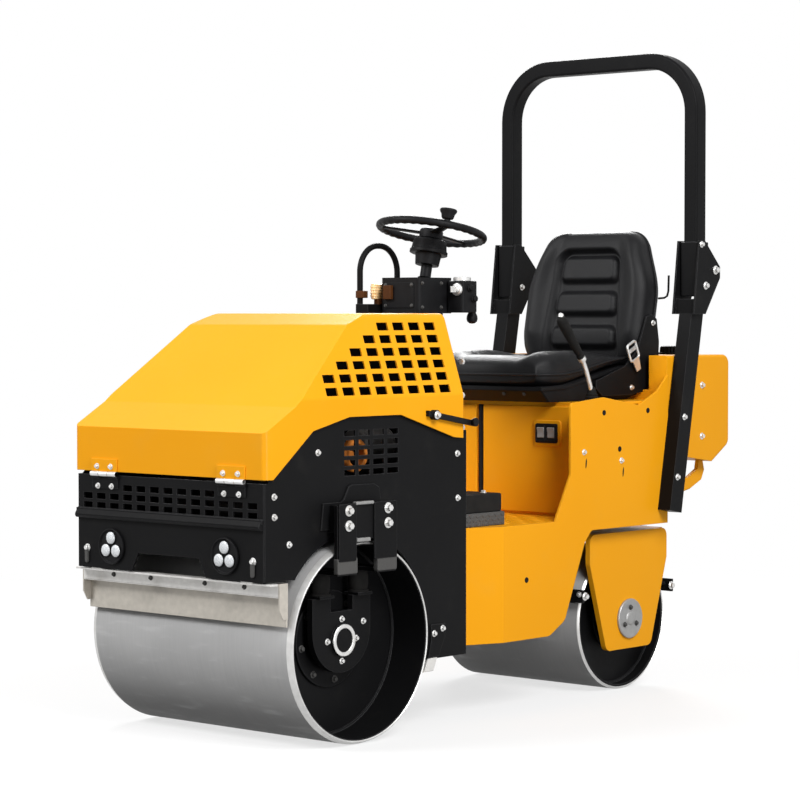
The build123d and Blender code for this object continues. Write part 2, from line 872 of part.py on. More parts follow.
with BuildPart() as trailing_scraper:
    bar_bottom_z = panel_foot_z + scraper_thickness / 2 - rear_blade_height
    contact_drop = front_axle_z - bar_bottom_z - scraper_thickness
    contact_y = front_axle_y + sqrt(front_drum_radius**2 - contact_drop**2)
    bar_y = contact_y + moving_clearance + rear_blade_reach
    block(
        (-panel_inner_x, bar_y, bar_bottom_z),
        (panel_inner_x, bar_y + scraper_thickness, bar_bottom_z + rear_blade_height),
    )
    block(
        (-panel_inner_x, contact_y + moving_clearance, bar_bottom_z),
        (panel_inner_x, bar_y, bar_bottom_z + scraper_thickness),
    )

# Chassis, floor and body
with BuildPart() as chassis:
    chassis_half_width = body_front_inner_x - chassis_side_gap
    block(
        (-chassis_half_width, bulkhead_rear_y, sill_bottom_z + chassis_bottom_rise),
        (chassis_half_width, rear_axle_y - chassis_rear_gap, floor_bottom_z),
    )

with BuildPart() as floor_plate:
    plate_flat(
        [
            (-body_front_inner_x, bulkhead_rear_y),
            (body_front_inner_x, bulkhead_rear_y),
            (body_front_inner_x, flare_front_y),
            (body_inner_x, body_fold_y),
            (body_inner_x, box_front_y + body_wall),
            (-body_inner_x, box_front_y + body_wall),
            (-body_inner_x, body_fold_y),
            (-body_front_inner_x, flare_front_y),
        ],
        floor_bottom_z,
        floor_top_z,
    )

with BuildPart() as body_side_left:
    box_side_top_z = box_deck_z + box_side_lip
    plate_across(
        [
            (body_fold_y, sill_bottom_z),
            (rear_axle_y - arch_heel_gap, sill_bottom_z),
            (rear_axle_y - arch_heel_gap + arch_heel_run, sill_bottom_z + arch_heel_rise),
            (rear_axle_y - arch_front_gap, arch_top_z - arch_corner_drop),
            (rear_axle_y - arch_corner_gap, arch_top_z),
            (box_rear_y, arch_top_z),
            (box_rear_y, box_deck_z + box_side_tail_rise),
            (box_rear_y - box_side_tail_run, box_deck_z + box_side_tail_rise - box_side_tail_drop),
            (rear_axle_y - box_side_dip_gap, box_side_top_z - box_side_dip),
            (rear_axle_y - box_side_crest_gap, box_side_top_z + box_side_crest),
            (rear_axle_y - box_side_front_gap, box_side_top_z),
            (rear_axle_y - box_side_front_gap, floor_top_z + box_side_knee_rise),
            (rear_axle_y - box_side_knee_gap, floor_top_z),
            (body_fold_y, floor_top_z),
        ],
        body_inner_x,
        body_half_width,
    )
    for corner_y, corner_z, radius in (
        (rear_axle_y - arch_heel_gap, sill_bottom_z, sill_rounding),
        (rear_axle_y - arch_heel_gap + arch_heel_run, sill_bottom_z + arch_heel_rise, sill_rounding),
        (rear_axle_y - arch_front_gap, arch_top_z - arch_corner_drop, arch_rounding),
        (rear_axle_y - arch_corner_gap, arch_top_z, arch_rounding),
        (rear_axle_y - box_side_front_gap, box_side_top_z, box_side_rounding),
        (rear_axle_y - box_side_front_gap, floor_top_z + box_side_knee_rise, box_side_rounding),
    ):
        corner = (body_half_width - body_wall / 2, corner_y, corner_z)
        fillet(edges().filter_by(Axis.X).sort_by_distance(corner)[0], radius=radius)
    plate_flat(
        [
            (body_front_inner_x, bulkhead_rear_y),
            (body_front_half_width, bulkhead_rear_y),
            (body_front_half_width, flare_front_y),
            (body_half_width, body_fold_y),
            (body_inner_x, body_fold_y),
            (body_front_inner_x, flare_front_y),
        ],
        sill_bottom_z,
        floor_top_z,
    )

with BuildPart() as body_side_right:
    mirror(body_side_left.part, about=Plane.YZ)

with BuildPart() as seat_box_front:
    block(
        (-body_inner_x, box_front_y, floor_top_z),
        (body_inner_x, box_front_y + body_wall, box_deck_z - body_wall),
    )

with BuildPart() as seat_deck:
    block((-body_inner_x, box_front_y, box_deck_z - body_wall), (body_inner_x, box_inner_rear_y, box_deck_z))

with BuildPart() as rear_wall:
    block(
        (-body_inner_x, box_inner_rear_y, arch_top_z),
        (body_inner_x, box_rear_y, box_deck_z),
    )

with BuildPart() as underbody:
    boss_bottom_z = yoke_top_z + running_clearance
    block(
        (-body_inner_x, box_front_y, underbody_z),
        (body_inner_x, box_inner_rear_y, underbody_z + underbody_thickness),
    )
    rod((0, rear_axle_y, boss_bottom_z), (0, rear_axle_y, boss_bottom_z + boss_height), boss_radius)
    rod((0, rear_axle_y, boss_bottom_z), (0, rear_axle_y, boss_bottom_z + boss_height),
        kingpin_radius + running_clearance, mode=Mode.SUBTRACT)

with BuildPart() as dash_pedestal:
    block(
        (-dash_half_width, bulkhead_rear_y, floor_top_z),
        (dash_half_width, bulkhead_rear_y + dash_depth, hood_top_z),
    )
    fillet(edges().filter_by(Axis.Z).group_by(Axis.Y)[-1], radius=dash_rounding)

with BuildPart() as step_pads:
    for side in (1, -1):
        step_x = sorted((side * (dash_half_width + step_side_gap), side * body_front_inner_x))
        block(
            (step_x[0], bulkhead_rear_y + step_gap, floor_top_z),
            (step_x[1], bulkhead_rear_y + step_gap + step_depth, floor_top_z + step_height),
        )

# Water tank behind the seat, and the brackets under it
with BuildPart() as rear_tank:
    plate_across(
        [
            (box_rear_y, tank_front_bottom_z),
            (box_rear_y + tank_belly_depth, tank_bottom_z),
            (tank_rear_y, tank_bottom_z + tank_rear_lift),
            (tank_rear_y, tank_top_z),
            (box_rear_y, tank_top_z),
        ],
        -tank_half_width,
        tank_half_width,
    )
    fillet(edges().filter_by(Axis.X).group_by(Axis.Y)[-1], radius=tank_rounding)
    fillet(edges().filter_by(Axis.Z).group_by(Axis.Y)[-1], radius=tank_corner_rounding)
    recess_half_width = seat_back_half_width + tank_recess_gap
    block(
        (-recess_half_width, box_rear_y, seat_pan_z - tank_recess_gap),
        (recess_half_width, seat_rear_y + seat_back_thickness + tank_recess_gap, tank_top_z),
        mode=Mode.SUBTRACT,
    )

with BuildPart() as tank_brackets:
    bracket_x_outer = tank_half_width - bracket_inset
    for side in (1, -1):
        bracket_x = sorted((side * bracket_x_outer, side * (bracket_x_outer - bracket_thickness)))
        belly_y = box_rear_y + tank_belly_depth
        plate_across(
            [
                (box_rear_y, tank_front_bottom_z - bracket_drop),
                (box_rear_y, tank_front_bottom_z),
                (belly_y, tank_bottom_z),
                (belly_y, tank_bottom_z - bracket_tip),
            ],
            bracket_x[0],
            bracket_x[1],
        )

# Tow plate with an eye under the tank
with BuildPart() as tow_plate:
    eye_z = arch_top_z + tow_plate_width / 2
    block(
        (-tow_plate_thickness / 2, box_rear_y, arch_top_z),
        (tow_plate_thickness / 2, box_rear_y + tow_plate_reach, arch_top_z + tow_plate_width),
    )
    rod((-tow_plate_thickness / 2, box_rear_y + tow_plate_reach, eye_z),
        (tow_plate_thickness / 2, box_rear_y + tow_plate_reach, eye_z), tow_plate_width / 2)
    rod((-tow_plate_thickness / 2, box_rear_y + tow_plate_reach, eye_z),
        (tow_plate_thickness / 2, box_rear_y + tow_plate_reach, eye_z), tow_eye_radius, mode=Mode.SUBTRACT)

# Yoke and rear drum
with BuildPart() as yoke_top:
    block(
        (-yoke_inner_x, rear_axle_y - yoke_half_length, yoke_top_z - yoke_top_thickness),
        (yoke_inner_x, rear_axle_y + yoke_half_length, yoke_top_z),
    )
    nut_z = yoke_top_z + kingpin_rise + 2 * running_clearance
    rod((0, rear_axle_y, yoke_top_z), (0, rear_axle_y, nut_z), kingpin_radius)
    rod((0, rear_axle_y, nut_z), (0, rear_axle_y, nut_z + kingpin_nut_height), kingpin_nut_radius)

with BuildPart() as yoke_plate_left:
    toe_z = rear_axle_z - yoke_toe_drop
    plate_across(
        [
            (rear_axle_y - yoke_half_length, yoke_top_z),
            (rear_axle_y - yoke_half_length, yoke_top_z - yoke_shoulder_drop),
            (rear_axle_y - yoke_toe_half_length, toe_z),
            (rear_axle_y + yoke_toe_half_length, toe_z),
            (rear_axle_y + yoke_half_length, yoke_top_z - yoke_shoulder_drop),
            (rear_axle_y + yoke_half_length, yoke_top_z),
        ],
        yoke_inner_x,
        yoke_outer_x,
    )
    fillet(edges().filter_by(Axis.X), radius=yoke_rounding)
    rear_journal_tip_x = rear_drum_width / 2 - rear_head_inset - journal_reach
    rod(
        (rear_journal_tip_x, rear_axle_y, rear_axle_z),
        (yoke_inner_x, rear_axle_y, rear_axle_z),
        journal_radius,
    )

with BuildPart() as yoke_plate_right:
    mirror(yoke_plate_left.part, about=Plane.YZ)

with BuildPart() as yoke_caps:
    for side in (1, -1):
        rod((side * yoke_outer_x, rear_axle_y, rear_axle_z),
            (side * (yoke_outer_x + yoke_cap_depth), rear_axle_y, rear_axle_z), yoke_cap_radius)

with BuildPart() as yoke_scrapers:
    blade_z = rear_axle_z + yoke_scraper_rise
    low_z = blade_z - yoke_scraper_height / 2
    high_z = low_z + yoke_scraper_height
    bar_gap = rear_drum_radius + yoke_scraper_gap
    blade_reach = sqrt(rear_drum_radius**2 - (blade_z - rear_axle_z) ** 2) + yoke_scraper_blade_gap
    strap_profile = [
        (yoke_half_length, yoke_top_z),
        (yoke_half_length + scraper_thickness, yoke_top_z),
        (yoke_half_length + scraper_thickness, yoke_top_z - yoke_strap_drop),
        (bar_gap, high_z),
        (bar_gap, low_z),
        (bar_gap - scraper_thickness, low_z),
        (bar_gap - scraper_thickness, high_z),
        (yoke_half_length, yoke_top_z - yoke_strap_drop),
    ]
    for end in (1, -1):
        bar_inner_y = rear_axle_y + end * (bar_gap - scraper_thickness)
        bar_y = sorted((bar_inner_y, rear_axle_y + end * bar_gap))
        block((-yoke_outer_x, bar_y[0], low_z), (yoke_outer_x, bar_y[1], high_z))
        blade_y = sorted((bar_inner_y, rear_axle_y + end * blade_reach))
        block(
            (-rear_drum_width / 2, blade_y[0], blade_z),
            (rear_drum_width / 2, blade_y[1], blade_z + scraper_thickness),
        )
        for side in (1, -1):
            strap_x = side * (yoke_inner_x - yoke_strap_inset)
            plate_across(
                [(rear_axle_y + end * reach, z) for reach, z in strap_profile],
                strap_x - yoke_strap_width / 2,
                strap_x + yoke_strap_width / 2,
            )

with BuildPart() as rear_drum_shell:
    drum_shell(rear_axle, rear_drum_radius, rear_drum_width)

with BuildPart() as rear_drum_heads:
    drum_heads(rear_axle, rear_drum_radius, rear_drum_width, rear_head_inset)

# Roll bar: leaning posts with hinge cheeks, and the hoop that folds back between them
with BuildPart() as roll_bar_post_left:
    lean = Vector(0, sin(radians(post_lean)), cos(radians(post_lean)))
    foot = Vector(hoop_offset_x, rear_axle_y + post_foot_gap, post_foot_z)
    post_length = (post_top_z - post_foot_z) / lean.Z
    with BuildSketch(Plane(origin=foot, x_dir=(1, 0, 0), z_dir=lean)):
        Rectangle(post_width, post_depth)
    extrude(amount=post_length + post_depth, both=False)
    split(bisect_by=Plane.XY.offset(post_top_z), keep=Keep.BOTTOM)
    collar_bottom_z = post_top_z - post_width
    collar_y = foot.Y + (collar_bottom_z - post_foot_z) * lean.Y / lean.Z
    block(
        (cheek_inner_x - cheek_thickness, collar_y - post_depth / 2, collar_bottom_z),
        (cheek_outer_x + cheek_thickness, hoop_y, post_top_z),
    )
    for low_x in (cheek_inner_x - cheek_thickness, cheek_outer_x):
        plate_across(
            [
                (hoop_y - hoop_tube_radius - cheek_front_rake, collar_bottom_z),
                (hoop_y, collar_bottom_z),
                (pivot_y + pivot_boss, pivot_z - pivot_boss),
                (pivot_y + pivot_boss, pivot_z + pivot_pin_radius),
                (hoop_y - cheek_top_setback, cheek_top_z),
                (hoop_y - hoop_tube_radius, cheek_top_z),
            ],
            low_x,
            low_x + cheek_thickness,
        )
    rod((cheek_inner_x - cheek_thickness, pivot_y, pivot_z), (cheek_outer_x + cheek_thickness, pivot_y, pivot_z),
        pivot_pin_radius)

with BuildPart() as roll_bar_post_right:
    mirror(roll_bar_post_left.part, about=Plane.YZ)

with BuildPart() as roll_bar_hoop:
    top_line_z = hoop_top_z - hoop_tube_radius
    with BuildLine():
        hoop_path = FilletPolyline(
            (-hoop_offset_x, hoop_y, hoop_bottom_z),
            (-hoop_offset_x, hoop_y, top_line_z),
            (hoop_offset_x, hoop_y, top_line_z),
            (hoop_offset_x, hoop_y, hoop_bottom_z),
            radius=hoop_bend_radius,
        )
    with BuildSketch(Plane(origin=hoop_path @ 0, z_dir=hoop_path % 0)):
        Circle(hoop_tube_radius)
        Circle(hoop_tube_radius - hoop_tube_wall, mode=Mode.SUBTRACT)
    sweep()
    for side in (1, -1):
        lug_x = sorted((side * (hoop_offset_x - post_width / 2), side * (hoop_offset_x + post_width / 2)))
        low_z = pivot_z - hoop_lug_height / 2
        block((lug_x[0], hoop_y + hoop_tube_radius - 2 * hoop_tube_wall, low_z),
              (lug_x[1], pivot_y, low_z + hoop_lug_height))
        rod((lug_x[0], pivot_y, pivot_z), (lug_x[1], pivot_y, pivot_z), pivot_boss - cheek_gap)
        rod((lug_x[0], pivot_y, pivot_z), (lug_x[1], pivot_y, pivot_z),
            pivot_pin_radius + running_clearance, mode=Mode.SUBTRACT)

# Seat
with BuildPart() as seat_pan:
    block(
        (-seat_base_half_width, seat_front_y + seat_base_inset, box_deck_z),
        (seat_base_half_width, seat_rear_y - seat_base_inset, seat_pan_z),
    )
    block(
        (-seat_half_width, seat_front_y, seat_pan_z),
        (seat_half_width, seat_rear_y + seat_back_thickness, seat_pan_z + seat_pan_thickness),
    )

with BuildPart() as seat_cushion:
    block(
        (-seat_half_width, seat_front_y, cushion_bottom_z),
        (seat_half_width, seat_rear_y, cushion_bottom_z + seat_cushion_height),
    )
    fillet(edges().filter_by(Axis.Z), radius=seat_back_rounding)
    fillet(edges().group_by(Axis.Z)[-1], radius=seat_top_rounding)

with BuildPart() as seat_back:
    back_rise = seat_back_top_z - cushion_bottom_z
    back_shift = back_rise * sin(radians(seat_back_lean)) / cos(radians(seat_back_lean))
    back_y = seat_rear_y + seat_back_gap
    plate_across(
        [
            (back_y, cushion_bottom_z),
            (back_y + seat_back_thickness - seat_back_gap, cushion_bottom_z),
            (back_y + seat_back_thickness + back_shift, seat_back_top_z),
            (back_y + back_shift, seat_back_top_z),
        ],
        -seat_back_half_width,
        seat_back_half_width,
    )
    with BuildSketch(Plane.XZ.offset(-seat_rear_y - 2 * back_shift - 2 * seat_back_thickness)):
        with BuildLine():
            Polyline(
                (-seat_back_half_width, cushion_bottom_z),
                (seat_back_half_width, cushion_bottom_z),
                (seat_back_half_width, seat_back_shoulder_z),
                (seat_back_top_half_width, seat_back_top_z),
                (-seat_back_top_half_width, seat_back_top_z),
                (-seat_back_half_width, seat_back_shoulder_z),
                close=True,
            )
        make_face()
        fillet(vertices().group_by(Axis.Y)[1:], radius=seat_back_rounding)
    extrude(amount=3 * back_shift + 3 * seat_back_thickness, mode=Mode.INTERSECT)

# Dash controls
with BuildPart() as console:
    block(
        (-console_half_width, console_front_y, hood_top_z),
        (console_half_width, console_rear_y, console_top_z),
    )
    fillet(edges().filter_by(Axis.Z), radius=console_rounding)

with BuildPart() as steering_column:
    hub_foot = wheel_centre - column_axis * wheel_hub_height
    cup_top = hub_foot - column_axis * running_clearance
    cup_foot = cup_top - column_axis * column_cup_height
    collar_foot = cup_foot - column_axis * column_collar_height
    column_foot = wheel_centre - column_axis * ((wheel_centre.Z - hood_top_z) / column_axis.Z)
    rod(cup_top, cup_foot, column_cup_radius)
    rod(cup_foot, collar_foot, column_collar_radius)
    rod(collar_foot, column_foot, column_radius)
    split(bisect_by=Plane.XY.offset(console_top_z), keep=Keep.TOP)

with BuildPart() as steering_wheel:
    wheel_plane = Plane(origin=wheel_centre, x_dir=(1, 0, 0), z_dir=column_axis)
    with Locations(wheel_plane.location):
        Torus(wheel_radius, wheel_rim_radius)
    rod(hub_foot, wheel_centre + column_axis * wheel_spoke_radius, wheel_hub_radius)
    for angle in (90, 210, 330):
        spoke = wheel_plane.x_dir * cos(radians(angle)) + wheel_plane.y_dir * sin(radians(angle))
        rod(wheel_centre - column_axis * spoke_sink, wheel_centre + spoke * wheel_radius, wheel_spoke_radius)
    knob_place = wheel_plane.x_dir * cos(radians(knob_angle)) + wheel_plane.y_dir * sin(radians(knob_angle))
    knob_foot = wheel_centre + knob_place * wheel_radius
    knob_base = knob_foot + column_axis * knob_stem_height
    rod(knob_foot, knob_base, knob_stem_radius)
    rod(knob_base, knob_base + column_axis * knob_height, knob_radius)

with BuildPart() as control_cluster:
    cluster_bottom_z = hood_top_z + cluster_lift
    cluster_rear_y = console_rear_y + cluster_depth / 2
    cluster_outer_x = console_half_width + cluster_width
    block(
        (console_half_width, cluster_rear_y - cluster_depth, cluster_bottom_z),
        (cluster_outer_x, cluster_rear_y, cluster_bottom_z + cluster_height),
    )
    gauge_x = console_half_width + cluster_width / 2
    gauge_y = cluster_rear_y - cluster_depth / 2
    gauge_z = cluster_bottom_z + cluster_height
    rod((gauge_x, gauge_y, gauge_z), (gauge_x, gauge_y, gauge_z + gauge_depth), gauge_radius)
    throttle_y = cluster_rear_y + throttle_reach
    throttle_z = cluster_bottom_z + cluster_height / 3
    rod((gauge_x, cluster_rear_y, throttle_z), (gauge_x, throttle_y, throttle_z), throttle_rod_radius)
    rod((gauge_x, throttle_y - throttle_rod_radius, throttle_z),
        (gauge_x, throttle_y - throttle_rod_radius, throttle_z - throttle_drop), throttle_rod_radius)
    with Locations((gauge_x, throttle_y - throttle_rod_radius, throttle_z - throttle_drop)):
        Sphere(throttle_knob_radius)

with BuildPart() as grab_hoop:
    grab_offset = console_half_width + grab_side_gap
    grab_top_z = hood_top_z + grab_rise
    grab_foot_z = hood_top_z + grab_foot_rise
    grab_front_y = console_front_y - grab_setback
    grab_rear_y = grab_front_y + grab_width
    with BuildLine():
        grab_path = FilletPolyline(
            (-grab_offset, grab_front_y, grab_foot_z),
            (-grab_offset, grab_front_y, grab_top_z),
            (-grab_offset, grab_rear_y, grab_top_z),
            (-grab_offset, grab_rear_y, grab_foot_z),
            radius=grab_width / 2 - grab_tube_radius / 2,
        )
    with BuildSketch(Plane(origin=grab_path @ 0, z_dir=grab_path % 0)):
        Circle(grab_tube_radius)
    sweep()
    block(
        (-grab_offset - grab_tube_radius, grab_front_y - grab_tube_radius, hood_top_z),
        (-console_half_width, grab_rear_y + grab_tube_radius, grab_foot_z),
    )

with BuildPart() as drive_lever:
    lever_offset = (seat_half_width + body_inner_x) / 2
    lever_base_y = rear_axle_y - lever_base_gap
    elbow = Vector(lever_offset, lever_base_y - lever_elbow_run, box_deck_z + lever_elbow_rise)
    grip_end = elbow + Vector(0, -lever_grip_run, lever_grip_rise)
    block(
        (lever_offset - lever_base_width / 2, lever_base_y - lever_base_length / 2, box_deck_z),
        (
            lever_offset + lever_base_width / 2,
            lever_base_y + lever_base_length / 2,
            box_deck_z + lever_base_height,
        ),
    )
    rod((lever_offset, lever_base_y, box_deck_z + lever_base_height / 2), elbow, lever_rod_radius)
    rod(elbow, grip_end, lever_grip_radius)
    with Locations(grip_end):
        Sphere(lever_grip_radius)

with BuildPart() as switch_box:
    switch_z = box_deck_z - switch_drop
    block(
        (switch_offset - switch_width / 2, box_front_y - switch_depth, switch_z - switch_height / 2),
        (switch_offset + switch_width / 2, box_front_y, switch_z + switch_height / 2),
    )

pieces = {
    "front_drum_shell": front_drum_shell,
    "front_drum_heads": front_drum_heads,
    "carrier_left": carrier_left,
    "carrier_right": carrier_right,
    "rubber_mounts": rubber_mounts,
    "hanger_left": hanger_left,
    "hanger_right": hanger_right,
    "hood": hood,
    "hinge_lower_leaves": hinge_lower_leaves,
    "hinge_upper_leaves": hinge_upper_leaves,
    "hood_latches": hood_latches,
    "side_panel_left": side_panel_left,
    "side_panel_right": side_panel_right,
    "front_panel": front_panel,
    "front_lamps": front_lamps,
    "bay_floor": bay_floor,
    "bulkhead": bulkhead,
    "engine": engine,
    "front_scraper": front_scraper,
    "trailing_scraper": trailing_scraper,
    "chassis": chassis,
    "floor_plate": floor_plate,
    "body_side_left": body_side_left,
    "body_side_right": body_side_right,
    "seat_box_front": seat_box_front,
    "seat_deck": seat_deck,
    "rear_wall": rear_wall,
    "underbody": underbody,
    "dash_pedestal": dash_pedestal,
    "step_pads": step_pads,
    "rear_tank": rear_tank,
    "tank_brackets": tank_brackets,
    "tow_plate": tow_plate,
    "yoke_top": yoke_top,
    "yoke_plate_left": yoke_plate_left,
    "yoke_plate_right": yoke_plate_right,
    "yoke_caps": yoke_caps,
    "yoke_scrapers": yoke_scrapers,
    "rear_drum_shell": rear_drum_shell,
    "rear_drum_heads": rear_drum_heads,
    "roll_bar_post_left": roll_bar_post_left,
    "roll_bar_post_right": roll_bar_post_right,
    "roll_bar_hoop": roll_bar_hoop,
    "seat_pan": seat_pan,
    "seat_cushion": seat_cushion,
    "seat_back": seat_back,
    "console": console,
    "steering_column": steering_column,
    "steering_wheel": steering_wheel,
    "control_cluster": control_cluster,
    "grab_hoop": grab_hoop,
    "drive_lever": drive_lever,
    "switch_box": switch_box,
}

os.makedirs("parts", exist_ok=True)
for name, piece in pieces.items():
    piece.part.label = name
    export_step(piece.part, f"parts/{name}.step")
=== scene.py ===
# %% [markdown]
# # A ride-on road roller
# The solid model gives every rigid part its place. This lesson dresses it: finishes for the solids, and new
# pieces for what a solid can't show, such as the sewn seat, the bolts and the lamps.

import json
from math import cos, hypot, pi, radians, sin

import bmesh
import bpy
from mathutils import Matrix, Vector


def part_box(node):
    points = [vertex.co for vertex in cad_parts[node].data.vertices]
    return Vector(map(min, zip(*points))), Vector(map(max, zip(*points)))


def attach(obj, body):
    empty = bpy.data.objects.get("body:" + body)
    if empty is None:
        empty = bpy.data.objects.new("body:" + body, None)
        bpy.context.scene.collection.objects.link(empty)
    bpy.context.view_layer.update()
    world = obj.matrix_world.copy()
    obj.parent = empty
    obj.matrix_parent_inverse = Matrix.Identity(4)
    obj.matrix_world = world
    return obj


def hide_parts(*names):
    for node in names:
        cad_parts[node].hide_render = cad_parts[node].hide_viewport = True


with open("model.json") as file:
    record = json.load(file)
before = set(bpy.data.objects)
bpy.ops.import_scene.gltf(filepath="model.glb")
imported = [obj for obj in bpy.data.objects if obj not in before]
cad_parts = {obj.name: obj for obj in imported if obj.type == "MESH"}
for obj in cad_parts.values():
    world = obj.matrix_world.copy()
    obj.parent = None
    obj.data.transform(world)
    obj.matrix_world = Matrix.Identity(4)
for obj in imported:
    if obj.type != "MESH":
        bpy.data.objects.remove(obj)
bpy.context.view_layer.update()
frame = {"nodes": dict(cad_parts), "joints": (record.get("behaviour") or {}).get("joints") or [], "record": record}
nodes = frame["nodes"]

# %% [markdown]
# ## Camera
# The photograph is taken from the left front corner with a long lens, nearly level. The place and the lens
# were solved from straight edges and circles, so the same outline falls on the same pixels.


# %% Camera at the photograph's place
def put_in_scene(name, data):
    made = bpy.data.objects.new(name, data)
    bpy.context.scene.collection.objects.link(made)
    return made


looks_down, turned_left = 1.87, 41.59
lens = bpy.data.cameras.new("camera")
lens.lens = 117.63
lens.sensor_width = 36
camera = put_in_scene("camera", lens)
camera.location = (5.19233, -5.98016, 1.17413)
camera.rotation_euler = (radians(90 - looks_down), 0, radians(turned_left))
bpy.context.scene.camera = camera
bpy.context.scene.view_settings.view_transform = "Standard"
print("camera", [round(v, 3) for v in camera.location])

# %% [markdown]
# ## Shader arithmetic
# A finish is a small formula over the surface. Writing it with node links is slow to read, so a Wire wraps
# a socket and lets plain Python operators add the Math nodes, and a Board makes every other node.


# %% Wires and boards
def math_node(operation, swapped=False):
    """An operator for wires that adds one Math node."""

    def apply(wire, other):
        first, second = (other, wire) if swapped else (wire, other)
        return wire.board.node("ShaderNodeMath", {"operation": operation}, {0: first, 1: second})

    return apply


class Wire:
    """A shader socket that takes part in arithmetic; | takes the larger of two."""

    __add__ = __radd__ = math_node("ADD")
    __mul__ = __rmul__ = math_node("MULTIPLY")
    __sub__ = math_node("SUBTRACT")
    __rsub__ = math_node("SUBTRACT", swapped=True)
    __or__ = math_node("MAXIMUM")

    def __init__(self, board, socket):
        self.board = board
        self.socket = socket


class Board:
    """A node tree, and the one way to put a node on it."""

    def __init__(self, tree):
        self.tree = tree

    def feed(self, socket, value):
        if isinstance(value, Wire):
            self.tree.links.new(value.socket, socket)
        else:
            socket.default_value = value

    def node(self, kind, settings, sockets, output=0):
        made = self.tree.nodes.new(kind)
        for key, value in settings.items():
            setattr(made, key, value)
        for key, value in sockets.items():
            self.feed(made.inputs[key], value)
        return Wire(self, made.outputs[output])

    def seen_directly(self):
        """1 for what the camera, a mirror or a glass sees, 0 for light that only bounces."""
        kinds = ("Is Camera Ray", "Is Glossy Ray", "Is Transmission Ray")
        by_camera, by_mirror, by_glass = (self.node("ShaderNodeLightPath", {}, {}, kind) for kind in kinds)
        return by_camera | by_mirror | by_glass


print("wires add Math nodes for + - * and |, boards add every other node")

# %% [markdown]
# A finish is one Principled shader with a few patterns behind it. Scales count pattern cells in a metre, so
# a noise of 620 is a grain of about a millimetre and a half, and one of 2 drifts over a whole panel.


# %% Finishes
class Finish(Board):
    """A material made from one Principled shader and a few wires."""

    def __init__(self, name, **constants):
        self.material = bpy.data.materials.new(name)
        self.material.use_nodes = True
        super().__init__(self.material.node_tree)
        self.shader = self.tree.nodes["Principled BSDF"]
        self.surface(**constants)

    def surface(self, **values):
        for name, value in values.items():
            self.feed(self.shader.inputs[name.replace("_", " ")], value)

    def place(self, stretch=None):
        point = self.node("ShaderNodeTexCoord", {}, {}, "Object")
        if stretch is None:
            return point
        return self.node("ShaderNodeVectorMath", {"operation": "MULTIPLY"}, {0: point, 1: stretch})

    def noise(self, scale, detail=3, stretch=None):
        sockets = {"Vector": self.place(stretch), "Scale": scale, "Detail": detail}
        return self.node("ShaderNodeTexNoise", {}, sockets)

    def cells(self, scale, feature="F1"):
        sockets = {"Vector": self.place(), "Scale": scale}
        return self.node("ShaderNodeTexVoronoi", {"feature": feature}, sockets, "Distance")

    def band(self, wire, low, high):
        """Spread the part of a wire from low to high over 0 to 1."""
        settings = {"interpolation_type": "SMOOTHSTEP"}
        return self.node("ShaderNodeMapRange", settings, {0: wire, 1: low, 2: high})

    def blend(self, share, first, second):
        """Mix two colours; each is a wire or three numbers."""
        first, second = ((*tone, 1) if isinstance(tone, tuple) else tone for tone in (first, second))
        return self.node("ShaderNodeMix", {"data_type": "RGBA"}, {0: share, 6: first, 7: second}, 2)

    def soft_edge(self, radius):
        return self.node("ShaderNodeBevel", {"samples": 4}, {"Radius": radius})

    def edges(self, radius):
        """1 where the surface turns within the radius, 0 on the flats."""
        flat = self.node("ShaderNodeNewGeometry", {}, {}, "Normal")
        facing = self.node("ShaderNodeVectorMath", {"operation": "DOT_PRODUCT"},
                           {0: self.soft_edge(radius), 1: flat}, "Value")
        return self.band(1 - facing, 0.01, 0.16)

    def bump(self, height, distance, strength, radius=0.0):
        sockets = {"Height": height, "Distance": distance, "Strength": strength}
        if radius:
            sockets["Normal"] = self.soft_edge(radius)
        self.surface(Normal=self.node("ShaderNodeBump", {}, sockets))


finishes = {}


def add_finishes(**made):
    finishes.update(made)
    for slot, material in made.items():
        print(slot, "is", material.name, "with", len(material.node_tree.nodes), "nodes")


# %% [markdown]
# ## Paint
# The yellow is a thick enamel: fine orange peel, a slight drift of tint between panels, and paler edges, partly
# where the film is thin and partly a painted highlight. The black is a satin powder coat, which is grainier,
# and its edges are grey, partly rubbed and partly a painted highlight.


# %% Yellow enamel
def yellow_enamel():
    paint = Finish("yellow_enamel", Coat_Roughness=0.15, Specular_IOR_Level=0.08)
    drift = paint.noise(2.2, 2)
    film = paint.noise(55, 4)
    dust = paint.band(paint.noise(9, 5), 0.52, 0.80)
    # Paler edges: partly thin film, partly a painted highlight along every turn of the surface.
    edge = paint.edges(0.0035)
    body = paint.blend(drift, (0.80, 0.325, 0.006), (0.86, 0.370, 0.009))
    body = paint.blend(dust * 0.06, body, (0.60, 0.40, 0.12))
    paint.surface(Base_Color=paint.blend(edge * 0.25, body, (0.92, 0.52, 0.06)))
    paint.surface(Roughness=0.34 + 0.12 * film + 0.1 * dust, Coat_Weight=0.02 + 0.04 * drift)
    paint.bump(paint.noise(620, 2), distance=0.0002, strength=0.35, radius=0.0025)
    return paint.material

add_finishes(yellow_paint=yellow_enamel())


# %% Black powder coat
def black_coat():
    paint = Finish("black_powder_coat", Specular_IOR_Level=0.06)
    drift = paint.noise(5)
    film = paint.noise(70)
    dust = paint.band(paint.noise(11, 5), 0.55, 0.85)
    # Grey edges: partly rubbed paint, partly a painted highlight along every turn of the surface.
    edge = paint.edges(0.003)
    body = paint.blend(drift, (0.0040, 0.0040, 0.0044), (0.0070, 0.0070, 0.0074))
    body = paint.blend(dust * 0.18, body, (0.030, 0.028, 0.025))
    paint.surface(Base_Color=paint.blend(edge * 0.55, body, (0.07, 0.07, 0.073)))
    paint.surface(Roughness=0.36 + 0.18 * film)
    paint.bump(paint.noise(1300, 2), distance=0.00025, strength=0.5, radius=0.0022)
    return paint.material


add_finishes(black_paint=black_coat())

